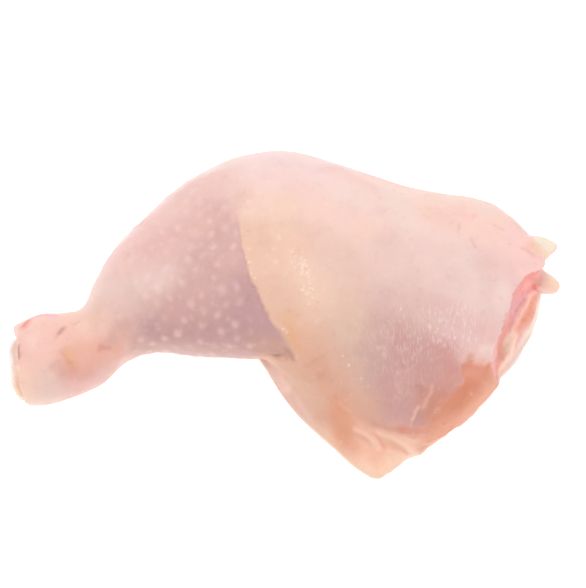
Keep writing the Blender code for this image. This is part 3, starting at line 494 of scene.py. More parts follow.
def unpinch(f):
    """Joins places that touch only across a cell's diagonal, so that each edge of the surface has two faces."""
    f = f.copy()
    for _ in range(8):
        inside, found = f < 0, 0
        for u, w in ((0, 1), (1, 2), (0, 2)):
            def corner(i, j):
                part = [slice(None)] * 3
                part[u] = slice(i, f.shape[u] - 1 + i)
                part[w] = slice(j, f.shape[w] - 1 + j)
                return inside[tuple(part)]

            a, b, c, d = corner(0, 0), corner(1, 0), corner(1, 1), corner(0, 1)
            places = np.argwhere((a == c) & (b == d) & (a != b))
            if not len(places):
                continue
            found += len(places)
            around = np.repeat(places[:, None], 4, 1)
            around[:, 1:3, u] += 1
            around[:, 2:4, w] += 1
            value = f[around[..., 0], around[..., 1], around[..., 2]]
            nearest = np.where(value < 0, np.inf, value).argmin(1)
            f[tuple(around[np.arange(len(places)), nearest].T)] = -1e-3
        if not found:
            break
    return f


def largest(verts, faces):
    """The biggest connected part of a surface."""
    label = np.arange(len(verts))
    while True:
        low, new = label[faces].min(1), label.copy()
        for k in range(faces.shape[1]):
            np.minimum.at(new, faces[:, k], low)
        new = new[new]
        if (new == label).all():
            break
        label = new
    keep = label == np.bincount(label).argmax()
    return verts[keep], (np.cumsum(keep) - 1)[faces[keep[faces[:, 0]]]]


def surface(f, origin, cell):
    """Vertices and outward faces of the zero surface of a field that is negative inside."""
    f = unpinch(f)
    inside = f < 0
    nx, ny, nz = f.shape
    corners = [(i, j, k) for i in (0, 1) for j in (0, 1) for k in (0, 1)]
    count = sum(inside[i:nx - 1 + i, j:ny - 1 + j, k:nz - 1 + k].astype(np.int8) for i, j, k in corners)
    crossed = (count > 0) & (count < 8)
    cells = np.argwhere(crossed)
    index = np.full(crossed.shape, -1)
    index[crossed] = np.arange(len(cells))
    values = np.stack([f[cells[:, 0] + i, cells[:, 1] + j, cells[:, 2] + k] for i, j, k in corners], 1)
    corners = np.array(corners)
    total, hits = np.zeros((len(cells), 3)), np.zeros(len(cells))
    for a in range(8):
        for b in range(a + 1, 8):
            if np.abs(corners[a] - corners[b]).sum() != 1:
                continue
            crossing = (values[:, a] < 0) != (values[:, b] < 0)
            t = np.where(crossing, values[:, a] / np.where(crossing, values[:, a] - values[:, b], 1), 0)
            total += np.where(crossing[:, None], corners[a] + t[:, None] * (corners[b] - corners[a]), 0)
            hits += crossing
    verts = origin + cell * (cells + total / hits[:, None])
    faces = []
    for axis in range(3):
        first, second = [slice(1, -1)] * 3, [slice(1, -1)] * 3
        first[axis], second[axis] = slice(0, -1), slice(1, None)
        a, b = inside[tuple(first)], inside[tuple(second)]
        edges = np.argwhere(a != b)
        outward = a[tuple(edges.T)]
        for other in range(3):
            if other != axis:
                edges[:, other] += 1
        u, w = ((1, 2), (2, 0), (0, 1))[axis]

        def at(du, dw):
            e = edges.copy()
            e[:, u] += du
            e[:, w] += dw
            return index[tuple(e.T)]

        quad = np.stack([at(-1, -1), at(0, -1), at(0, 0), at(-1, 0)], 1)
        faces.append(np.where(outward[:, None], quad, quad[:, ::-1]))
    return largest(verts, np.concatenate(faces))


def face_normals(verts, faces):
    normal = np.cross(verts[faces[:, 2]] - verts[faces[:, 0]], verts[faces[:, 3]] - verts[faces[:, 1]])
    total = np.zeros_like(verts)
    for i in range(4):
        for k in range(3):
            total[:, k] += np.bincount(faces[:, i], normal[:, k], len(verts))
    return total / np.maximum(np.linalg.norm(total, axis=1, keepdims=True), 1e-12)


def relax(verts, faces, rounds, amount=0.5):
    """Evens out the spacing of the vertices and the last unevenness of the grid."""
    edges = np.concatenate([faces[:, [i, (i + 1) % 4]] for i in range(4)])
    count = np.bincount(edges[:, 0], minlength=len(verts)) + np.bincount(edges[:, 1], minlength=len(verts))
    for _ in range(rounds):
        for gain in (amount, -amount * 1.04):
            total = np.zeros_like(verts)
            for k in range(3):
                total[:, k] = (np.bincount(edges[:, 0], verts[edges[:, 1], k], len(verts))
                               + np.bincount(edges[:, 1], verts[edges[:, 0], k], len(verts)))
            verts = verts + gain * (total / count[:, None] - verts)
    return verts


def read(mesh):
    """Vertices of a mesh in mm in the drawing's zero, and their directions."""
    verts, normal = np.empty(len(mesh.vertices) * 3, np.float32), np.empty(len(mesh.vertices) * 3, np.float32)
    mesh.vertices.foreach_get("co", verts)
    mesh.vertex_normals.foreach_get("vector", normal)
    return verts.reshape(-1, 3).astype(float) / MM - FRAME_SHIFT, normal.reshape(-1, 3).astype(float)


def write(mesh, verts):
    mesh.vertices.foreach_set("co", ((verts + FRAME_SHIFT) * MM).astype(np.float32).ravel())
    mesh.update()


def thin_underside(obj, most):
    """Larger faces where the leg rests, so that the shown side can have small ones."""
    verts, normal = read(obj.data)
    under = (normal[:, 2] < -0.3) | (verts[:, 2] < 0.02)
    group = obj.vertex_groups.new(name="underside")
    group.add([int(i) for i in np.flatnonzero(under)], 1.0, "REPLACE")
    modifier = obj.modifiers.new("thin", "DECIMATE")
    modifier.decimate_type = "COLLAPSE"
    modifier.vertex_group = group.name
    modifier.ratio = most / sum(len(p.vertices) - 2 for p in obj.data.polygons)
    bpy.context.view_layer.update()
    thinned = bpy.data.meshes.new_from_object(obj.evaluated_get(bpy.context.evaluated_depsgraph_get()))
    obj.modifiers.clear()
    obj.vertex_groups.clear()
    old, obj.data = obj.data, thinned
    bpy.data.meshes.remove(old)
    obj.data.shade_smooth()


# ---------------------------------------------------------------- fine relief on the vertices
def scatter(p, allowed, spacing, seed):
    """Points of the surface spaced unevenly over it, none nearer to another than the spacing."""
    index = np.flatnonzero(allowed)
    index = np.random.default_rng(seed).permutation(index)[: len(index) // 3]
    taken, chosen = {}, []
    for k, place, (a, b, c) in zip(index.tolist(), p[index].tolist(), np.floor(p[index] / spacing).astype(int).tolist()):
        near = (q for i in (-1, 0, 1) for j in (-1, 0, 1) for m in (-1, 0, 1) for q in taken.get((a + i, b + j, c + m), ()))
        if all((place[0] - q[0]) ** 2 + (place[1] - q[1]) ** 2 + (place[2] - q[2]) ** 2 > spacing * spacing for q in near):
            taken.setdefault((a, b, c), []).append(place)
            chosen.append(k)
    return p[np.array(chosen, int)]


def bumps(p, centres, radii, strong):
    """Roundish bumps, each from its strength at its top to 0 at its foot."""
    order = np.argsort(p[:, 0], kind="stable")
    xs = p[order, 0]
    best = np.zeros(len(p))
    drawn = np.random.default_rng(len(centres)).uniform(-0.35, 0.35, len(centres))
    for centre, radius, most, draw in zip(centres, radii, strong, drawn):
        a, b = np.searchsorted(xs, (centre[0] - 2.4 * radius, centre[0] + 2.4 * radius))
        near = order[a:b]
        q = (p[near] - centre) * (1.12, 0.92, 1.0)
        q[:, 0] += draw * q[:, 1]
        d = (q * q).sum(1) / (radius * radius)
        near, d = near[d < 4], d[d < 4]
        best[near] = np.maximum(best[near], most * np.exp(-1.25 * d))
    return best


def fine_marks(p, normal):
    """Follicle bumps, fine wrinkles and grain: how far each raises the surface (mm), and masks for the shader."""
    x, y, z = p.T
    past = lap_place(p)
    on_drum = step(0.0, -1.0, past) * step(-70.0, -58.0, x) * step(2.0, 6.0, z)
    on_drum = np.where(y > 38.0, on_drum * step(66.0, 48.0, y), on_drum)
    on_drum *= 1.0 - 0.85 * step(-5.5, -2.5, past) * step(14.0, 4.0, y)
    rng = np.random.default_rng(29)
    near = on_drum > 0.05
    large = scatter(p, near, 4.7, 5)
    small = scatter(p, near, 3.6, 8)
    broad = scatter(p, near, 7.5, 9)
    strong = rng.uniform(0.45, 0.85, len(large)) + 0.3 * (rng.uniform(0, 1, len(large)) < 0.25)
    pattern = bumps(p, large, rng.uniform(1.45, 2.2, len(large)), strong)
    pattern = np.maximum(pattern, bumps(p, small, rng.uniform(0.9, 1.35, len(small)), rng.uniform(0.1, 0.6, len(small))))
    pattern += 0.25 * bumps(p, broad, rng.uniform(2.2, 3.6, len(broad)), rng.uniform(0.3, 1.0, len(broad)))
    middle = np.exp(-((np.linalg.norm((p - (-31.0, -4.0, 33.0)) / (27.0, 24.0, 24.0), axis=1)) ** 2))
    follicle_and_painted_highlight = on_drum * pattern * np.clip(1.0 + 0.45 * Noise(31)(p, 11.0), 0.5, 1.3) * (0.68 + 0.32 * middle)
    # the thigh's are smaller and fainter
    near_fold = np.exp(-(((past - 9.0) / 12.0) ** 2)) * step(-8.0, 4.0, y)
    on_thigh = step(0.4, 1.6, past) * step(-1.0, 0.2, normal[:, 2]) * (0.18 + 0.82 * near_fold)
    spots = scatter(p, on_thigh > 0.1, 3.7, 13)
    thigh_dots = on_thigh * bumps(p, spots, rng.uniform(0.8, 1.35, len(spots)), rng.uniform(0.1, 0.9, len(spots)))
    # beads of fat; the same mask paints their glints in the shader
    bead_and_painted_glint = np.zeros(len(p))
    raised = np.zeros(len(p))
    for name, path, count, stray, radius, height in BEADS:
        path = np.array(path, float)
        centres = smooth_path(path, max(count, 2))[:count] if len(path) > 1 else path
        centres = centres + rng.uniform(-stray, stray, centres.shape)
        for centre, size in zip(centres, rng.uniform(0.5, 1.3, len(centres))):
            middle_one = p[np.argmin(((p - centre) ** 2).sum(1) + 1e3 * (normal[:, 2] < 0))]
            near = np.flatnonzero((np.abs(p - middle_one) < 3.0 * radius).all(1))
            bump = np.exp(-((np.linalg.norm(p[near] - middle_one, axis=1) / (radius * size)) ** 2))
            bead_and_painted_glint[near] = np.maximum(bead_and_painted_glint[near], rng.uniform(0.5, 1.0) * bump)
            raised[near] = np.maximum(raised[near], height * size * bump)
    raised += 0.55 * follicle_and_painted_highlight + 0.16 * thigh_dots
    # fine creases of wet skin across the thigh
    pleat_and_painted_highlight = np.exp(-((np.linalg.norm((p - (59.5, -16.0, 36.4)) / (11.5, 8.8, 10.0), axis=1)) ** 4))
    pleat_and_painted_highlight = np.clip(pleat_and_painted_highlight + 0.5 * np.exp(-((np.linalg.norm((p - (40.0, -23.0, 34.0)) / (14.0, 15.0, 12.0), axis=1)) ** 2)), 0, 1)
    pleat_and_painted_highlight *= step(2.0, 3.6, hip_x(y, z) - x)
    bend = 1.2 * Noise(42)(p, 4.0)
    turned = np.stack((x + 0.16 * y + bend, y - 0.16 * x, z), 1)
    fold = 1.0 - np.abs(0.65 * Noise(41)(turned, (1.5, 3.6, 3.6)) + 0.35 * Noise(43)(turned, (1.1, 2.6, 2.6)))
    raised += 0.13 * pleat_and_painted_highlight * (step(0.75, 1.0, fold) - 0.35)
    free = step(0.2, 2.0, z)
    raised += free * (0.05 * lumps(51, p, 2.4, 2) + 0.07 * Noise(52)(p, 5.5))
    return raised * free, follicle_and_painted_highlight, thigh_dots, pleat_and_painted_highlight, bead_and_painted_glint


# ---------------------------------------------------------------- colours
def srgb(*c):
    c = np.array(c, float) / 255.0
    return np.where(c <= 0.04045, c / 12.92, ((c + 0.055) / 1.055) ** 2.4)


# Broad tones of the skin: side of the fold, name, path, reach in mm, colour. They blend into each other by nearness.
TONES = (
    # The drumstick's tones also carry painted light and shade: lighter towards its upper side, darker towards its lower
    # side.
    ("leg", "calf's outline", ((-76, 2, 18), (-66, 16, 22), (-52, 36, 24), (-36, 50, 26), (-18, 59, 26)), 9.0, (246, 221, 216)),
    ("leg", "calf's upper side", ((-57, 12, 34), (-47, 23, 35), (-35, 34, 37), (-23, 40, 38)), 9.0, (239, 199, 192)),
    ("leg", "middle of the calf", ((-44, 13, 38), (-35, 20, 40), (-26, 27, 41)), 9.0, (228, 186, 178)),
    ("leg", "beside the fold", ((-21, 22, 41), (-19, 13, 41), (-18, 6, 40)), 8.0, (219, 175, 169)),
    ("leg", "below the middle", ((-33, 2, 39), (-27, 7, 40), (-21, 10, 41)), 8.0, (217, 175, 168)),
    ("leg", "shin's pale streak", ((-59, -3, 32), (-51, -2, 35), (-42, 2, 37)), 6.5, (234, 202, 196)),
    ("leg", "below the streak", ((-61, -8, 30), (-53, -7, 32), (-46, -5, 34)), 6.5, (227, 190, 181)),
    ("leg", "muscle seen through", ((-37, -7, 34), (-29, -6, 36), (-21, -2, 38)), 8.0, (213, 169, 165)),
    # Beside the fold: the mauve of muscle under the skin, darkened further as painted shade.
    ("leg", "mauve in the fold", ((-15, -1, 38), (-12, -7, 35), (-9, -12, 32)), 8.0, (200, 158, 159)),
    # Lower calf: the mauve of muscle under the skin, darkened further as painted shade on the side turned from the
    # light.
    ("leg", "lower calf", ((-47, -12, 28), (-37, -14, 27), (-27, -14, 29), (-18, -15, 30)), 8.0, (199, 156, 155)),
    ("leg", "brown corner", ((-10, -17, 25), (-4, -19, 22), (0, -21, 22)), 5.0, (209, 165, 150)),
    # Lower rim: a paler band painted as light thrown back up from the floor.
    ("leg", "lower rim", ((-50, -16, 17), (-39, -16, 14), (-28, -17, 15), (-16, -19, 16)), 6.5, (215, 184, 179)),
    ("leg", "neck", ((-68, -11, 27), (-65, -9, 28), (-61, -13, 28)), 7.0, (242, 201, 183)),
    ("leg", "back of the neck", ((-72, -2, 20), (-68, 0, 26)), 7.0, (240, 210, 200)),
    ("leg", "hock, back", ((-88, -10, 27), (-82, -9, 26), (-75, -8, 25)), 6.5, (249, 207, 193)),
    ("leg", "hock, top", ((-88, -16, 28), (-84, -16, 29), (-80, -13, 28)), 6.5, (246, 198, 186)),
    ("leg", "hock, middle", ((-89, -23, 28), (-84, -23, 29), (-80, -21, 28)), 6.5, (244, 197, 184)),
    ("leg", "hock, front", ((-85, -31, 25), (-82, -34, 22), (-79, -35, 17)), 6.5, (235, 202, 190)),
    ("leg", "hock, corner", ((-90, -31, 24), (-89, -35, 19)), 5.5, (251, 211, 192)),
    ("leg", "heel", ((-87, -36, 15), (-82, -35, 16)), 5.5, (237, 210, 200)),
    ("leg", "salmon of the ankle", ((-70, -22, 25), (-65, -21, 24), (-60, -19, 22)), 7.0, (236, 178, 160)),
    ("leg", "pink of the ankle", ((-76, -32, 21), (-73, -31, 18), (-69, -29, 18)), 5.5, (236, 188, 181)),
    ("leg", "under the ankle", ((-65, -26, 14), (-60, -21, 14), (-55, -17, 13)), 6.5, (235, 202, 194)),
    ("thigh", "knee's outline", ((-13, 56, 30), (2, 58, 30), (18, 52, 30)), 9.0, (249, 220, 218)),
    ("thigh", "upper knee", ((-8, 44, 38), (6, 46, 36), (20, 41, 37)), 9.0, (249, 217, 212)),
    ("thigh", "back outline", ((32, 48, 28), (47, 43, 29), (61, 39, 30), (76, 36, 28)), 8.0, (251, 217, 206)),
    ("thigh", "lavender stripe", ((23, 34, 39), (37, 29, 39), (50, 21, 40)), 8.0, (245, 217, 208)),
    ("thigh", "back peach", ((55, 31, 36), (65, 28, 35), (74, 26, 34)), 8.0, (254, 212, 200)),
    ("thigh", "back of the hip", ((79, 21, 34), (85, 16, 33), (87, 11, 33)), 8.0, (254, 211, 203)),
    ("thigh", "upper middle", ((6, 33, 40), (17, 26, 41), (29, 20, 42)), 9.0, (248, 210, 199)),
    ("thigh", "yellow top", ((-13, 29, 41), (-8, 32, 41), (-1, 29, 41)), 7.5, (246, 211, 196)),
    ("thigh", "yellow fat, upper", ((-11, 18, 41), (-8, 7, 40)), 8.0, (236, 195, 172)),
    ("thigh", "yellow fat, lower", ((-3, -3, 38), (2, -11, 34)), 8.0, (234, 193, 171)),
    ("thigh", "beside the yellow", ((0, 18, 42), (5, 6, 41), (10, -4, 39)), 8.0, (241, 204, 183)),
    ("thigh", "yellow by the notch", ((5, -18, 30), (8, -23, 28)), 6.0, (230, 179, 155)),
    ("thigh", "middle", ((16, 12, 41), (22, 1, 41)), 9.0, (232, 196, 182)),
    ("thigh", "right of the middle", ((32, 12, 42), (41, 4, 42)), 9.0, (236, 201, 192)),
    ("thigh", "lavender", ((51, 10, 41), (60, 3, 40), (69, -4, 37)), 9.0, (239, 209, 202)),
    ("thigh", "beside the lip", ((76, 8, 36), (79, 1, 36)), 6.5, (243, 203, 198)),
    ("thigh", "wrinkled skin", ((54, -14, 38), (62, -18, 36), (68, -21, 32)), 7.0, (235, 195, 191)),
    ("thigh", "grey", ((20, -12, 38), (24, -19, 36)), 8.0, (231, 195, 175)),
    ("thigh", "muscle seen through", ((40, -22, 37), (47, -25, 35), (52, -29, 33)), 6.5, (206, 157, 151)),
    ("thigh", "muscle, right", ((56, -25, 34), (58, -31, 30)), 5.5, (215, 159, 151)),
    ("thigh", "muscle, low", ((36, -35, 28), (41, -41, 23)), 6.5, (209, 162, 157)),
    ("thigh", "beside the bare fat", ((50.6, -41.2, 23.4), (53.8, -38.6, 24.8), (57.6, -35.6, 26.0)), 4.5, (211, 147, 129)),
    ("thigh", "above the muscle", ((36, -8, 40), (45, -11, 39), (52, -15, 38)), 7.0, (224, 187, 180)),
    ("thigh", "muscle, upper", ((33, -16, 38), (39, -16, 39), (46, -18, 38)), 5.5, (216, 176, 166)),
    ("thigh", "muscle, left", ((30, -19, 37), (30, -26, 34), (31, -31, 31)), 6.0, (204, 166, 158)),
    ("thigh", "left of the muscle", ((23, -16, 37), (24, -24, 34), (25, -30, 30)), 6.5, (218, 181, 166)),
    ("thigh", "brown of the middle", ((14, -21, 33), (19, -28, 30), (24, -34, 27)), 7.0, (226, 183, 161)),
    ("thigh", "front, upper", ((12, -26, 27), (15, -30, 25)), 6.0, (223, 166, 142)),
    ("thigh", "front, left", ((1, -24, 17), (6, -29, 14), (10, -33, 12)), 7.0, (223, 179, 156)),
    ("thigh", "front, tan", ((21, -35, 23), (27, -40, 20)), 6.0, (220, 171, 151)),
    ("thigh", "front edge", ((-6, -15, 4), (1, -25, 3), (8, -34, 3), (15, -44, 3)), 5.0, (233, 197, 182)),
    ("thigh", "orange fat", ((20, -38, 17), (22, -41, 11), (22, -44, 6)), 5.5, (228, 162, 131)),
    ("thigh", "tip's edge", ((17, -46, 3), (23, -52, 3), (29, -57, 3)), 5.0, (245, 207, 184)),
    ("thigh", "tip", ((30, -54, 4), (35, -55, 4)), 5.0, (251, 205, 176)),
    ("thigh", "tip's right", ((40, -53, 4), (45, -51, 5)), 5.0, (254, 216, 193)),
    ("thigh", "tip's lobes", ((28, -45, 9), (30, -47, 8), (36, -47, 11), (40, -49, 8)), 4.5, (243, 190, 168)),
    ("thigh", "below the lobes", ((27, -50, 5), (32, -52, 5)), 4.5, (242, 185, 163)),
    ("thigh", "pale lobe", ((65, -24, 32), (69, -21, 31), (72, -18, 32)), 4.0, (240, 197, 189)),
    ("bare", "core", ((63, -30, 28), (65, -34, 24), (62, -37, 22)), 6.0, (222, 141, 113)),
    ("bare", "lower", ((54, -42, 20), (59, -38, 22)), 6.0, (219, 145, 117)),
    ("bare", "outer", ((55, -45, 13), (62, -41, 13), (69, -35, 13), (73, -30, 14)), 5.5, (231, 165, 138)),
    ("bare", "edge", ((53, -47, 4), (61, -42, 3), (69, -35, 2), (75, -27, 3)), 4.0, (240, 178, 156)),
)
# Painted over them: path, reach in mm, colour, strength, crispness of the edge.
COATS = (
    # Painted light: a pale tone that lifts the shade in the hollow corner where the drumstick meets the flap.
    ("foot of the corner", ((-6.0, -17.4, 3.0), (-4.6, -18.2, 3.8), (-2.4, -21.4, 4.0), (0.4, -25.2, 4.6)), 2.2, (255, 226, 214), 0.75, 2.4),
    ("hock tan", ((-75.7, -23.4, 26.9), (-75.6, -25.6, 26.0), (-74.2, -27.6, 24.8)), 2.7, (225, 160, 128), 0.7, 2.4),
    ("hock tan, top", ((-75.0, -22.0, 27.3), (-74.5, -23.8, 26.6)), 1.5, (238, 190, 152), 0.6, 2),
    ("hock salmon", ((-74.0, -29.2, 23.4), (-71.0, -28.6, 22.0), (-68.0, -27.0, 22.0)), 2.6, (226, 164, 150), 0.5, 2.4),
    ("ankle salmon", ((-71.0, -22.0, 26.2), (-68.4, -23.6, 25.2), (-67.6, -25.4, 23.8)), 3.4, (234, 180, 163), 0.3, 3),
    ("mauve patch", ((59.6, -30.4, 29.6), (58.6, -34.0, 27.2)), 3.2, (215, 157, 148), 0.6, 3),
    ("skin over the bare fat", ((67.6, -26.0, 28.8), (70.4, -25.8, 26.8)), 1.7, (243, 194, 180), 0.8, 2.4),
    ("tongue of bare fat", ((64.2, -27.8, 30.4), (64.9, -25.8, 31.6)), 1.5, (218, 156, 138), 0.7, 2.4),
    # Painted shadow on the flap just above the tip lobes.
    ("above the lobes, left", ((32.3, -44.4, 15.0), (35.7, -45.6, 15.0), (38.2, -46.3, 15.2), (41.6, -46.9, 15.6)), 1.9, (212, 154, 140), 0.75, 2.4),
    ("above the lobes, right", ((41.6, -46.9, 15.4), (45.6, -47.4, 15.0), (49.5, -46.9, 13.9)), 2.1, (219, 146, 120), 0.75, 2.4),
    ("shade of the ankle", ((-60.6, -16.4, 27.0), (-58.7, -14.0, 28.2), (-56.6, -13.2, 28.6)), 3.2, (210, 164, 156), 0.55, 2.4),
    ("back of the thigh", ((55.6, 24.1, 39.0), (52.2, 26.4, 38.8)), 5.0, (249, 198, 185), 0.45, 2.0),
    ("back of the thigh, upper", ((18.0, 49.0, 33.6), (24.0, 45.4, 35.0), (31.0, 41.0, 36.4)), 3.6, (249, 202, 191), 0.45, 2.0),
    ("skin by the hip's lip", ((75.0, -6.4, 35.8), (76.8, -3.4, 35.6)), 3.6, (248, 224, 215), 0.5, 2.0),
    # Painted shade along the calf's lower side.
    ("calf's lower edge", ((-50.0, -15.9, 20.0), (-36.7, -16.3, 19.0), (-22.6, -18.0, 20.5), (-12.0, -18.8, 21.0)), 3.6, (207, 162, 154), 0.4, 2.0),
    ("hock rose", ((-79.2, -27.6, 26.2), (-77.6, -29.2, 25.0)), 2.3, (220, 158, 147), 0.55, 2.0),
    ("hock, upper left", ((-88.9, -17.6, 28.2), (-87.6, -19.6, 28.6)), 3.0, (253, 223, 214), 0.4, 2.0),
    ("front of the flap", ((13.1, -39.1, 7.0), (16.7, -41.6, 7.0), (20.2, -45.0, 6.2), (24.3, -49.6, 5.4)), 3.0, (217, 151, 121), 0.42, 2.0),
    # Painted shadow above lobe B.
    ("above lobe B", ((44.5, -47.9, 13.6), (47.1, -48.2, 12.2), (49.6, -48.3, 10.4)), 1.7, (220, 156, 130), 0.6, 2.4),
    ("skin's end, upper", ((69.8, -23.2, 30.9), (72.2, -23.0, 29.8)), 2.2, (255, 228, 216), 0.55, 2.0),
    ("bare fat, upper", ((67.9, -28.9, 24.9), (64.6, -29.6, 26.8)), 3.0, (240, 179, 159), 0.4, 2.0),
    ("lobe A", ((25.8, -43.5, 9.8), (28.6, -45.0, 9.8), (31.1, -46.8, 8.7), (32.9, -49.3, 6.5)), 1.4, (255, 207, 187), 0.85, 3),
    ("lobe B", ((33.6, -45.7, 11.2), (37.3, -46.7, 11.4), (41.6, -48.4, 8.6), (46.0, -50.6, 4.6)), 1.5, (255, 212, 188), 0.85, 3),
    # Painted shade in the grooves between and under the lobes.
    ("between the lobes", ((31.6, -45.2, 11.0), (33.6, -47.4, 9.2), (35.0, -49.6, 6.8)), 0.75, (232, 166, 140), 0.6, 2),
    ("under lobe B", ((35.6, -48.8, 8.4), (39.4, -49.8, 7.2), (43.4, -51.0, 4.8)), 0.8, (236, 174, 148), 0.55, 2),
    ("tip's rim", ((23.0, -52.6, 2.0), (27.4, -56.2, 2.0), (33.0, -58.6, 2.0), (37.0, -56.0, 2.0), (44.0, -51.4, 2.0)), 1.7, (253, 224, 200), 0.7, 2),
    # The mauve strip under the hip's lip: the muscle's own tone, darkened further as painted shade from the overhanging
    # lip.
    ("hip mauve", ((84.3, 2.4, 23.4), (82.9, 0.0, 21.8), (81.3, -2.8, 21.4), (80.2, -5.7, 20.6), (79.2, -8.3, 19.8)), 6.6, (230, 162, 164), 0.95, 4),
    ("hip salmon", ((78.9, -9.8, 18.2), (77.7, -13.2, 16.4), (76.7, -16.5, 15.0), (76.5, -19.6, 13.0), (77.2, -20.8, 8.5)), 5.8, (231, 152, 139), 0.95, 4),
    ("hip red", ((92.3, 9.6, 24.6), (90.4, 8.2, 24.8), (88.1, 7.2, 25.0), (86.4, 5.8, 25.6)), 4.8, (250, 163, 156), 0.95, 4),
    ("hip red, end", ((93.4, 10.4, 25.4), (92.4, 9.4, 24.0), (92.4, 7.0, 23.4)), 2.8, (255, 196, 184), 0.8, 3),
    ("hip membrane", ((89.0, 6.2, 15.6), (87.0, 2.4, 15.4), (85.3, -0.7, 14.8), (83.9, -3.6, 13.6), (82.7, -6.2, 12.8)), 1.7, (255, 202, 188), 0.9, 4),
    ("hip orange", ((90.9, 6.3, 12.3), (89.3, 2.5, 11.4), (87.8, -0.4, 11.2), (86.2, -2.8, 11.2), (84.8, -5.6, 10.8), (84.2, -7.6, 10.0)), 2.5, (247, 174, 150), 0.95, 4),
    ("hip cream", ((82.4, -9.6, 11.6), (81.1, -12.3, 11.0), (80.3, -15.0, 9.6), (79.7, -17.5, 7.4), (79.1, -19.3, 5.6)), 3.3, (255, 217, 196), 0.95, 4),
    # Painted light: pale tones that lift the shade on the rim of the cut, which faces down.
    ("hip rim", ((93.6, 9.4, 9.4), (93.2, 6.9, 7.2), (92.2, 4.2, 5.8), (90.4, -0.7, 5.0), (88.5, -3.4, 4.6), (86.5, -7.3, 4.6), (84.3, -11.3, 4.4), (81.6, -16.0, 4.2)), 2.6, (255, 238, 228), 0.92, 3),
    ("rim of the cut", ((94.0, 9.6, 7.0), (93.4, 6.9, 4.0), (92.6, 4.2, 3.0), (90.8, -0.7, 2.8), (88.9, -3.4, 2.6), (86.9, -7.3, 2.4), (84.7, -11.3, 2.4), (82.7, -15.1, 2.6), (80.6, -18.2, 2.8), (78.7, -21.0, 3.2)), 3.0, (255, 232, 216), 0.95, 3),
)
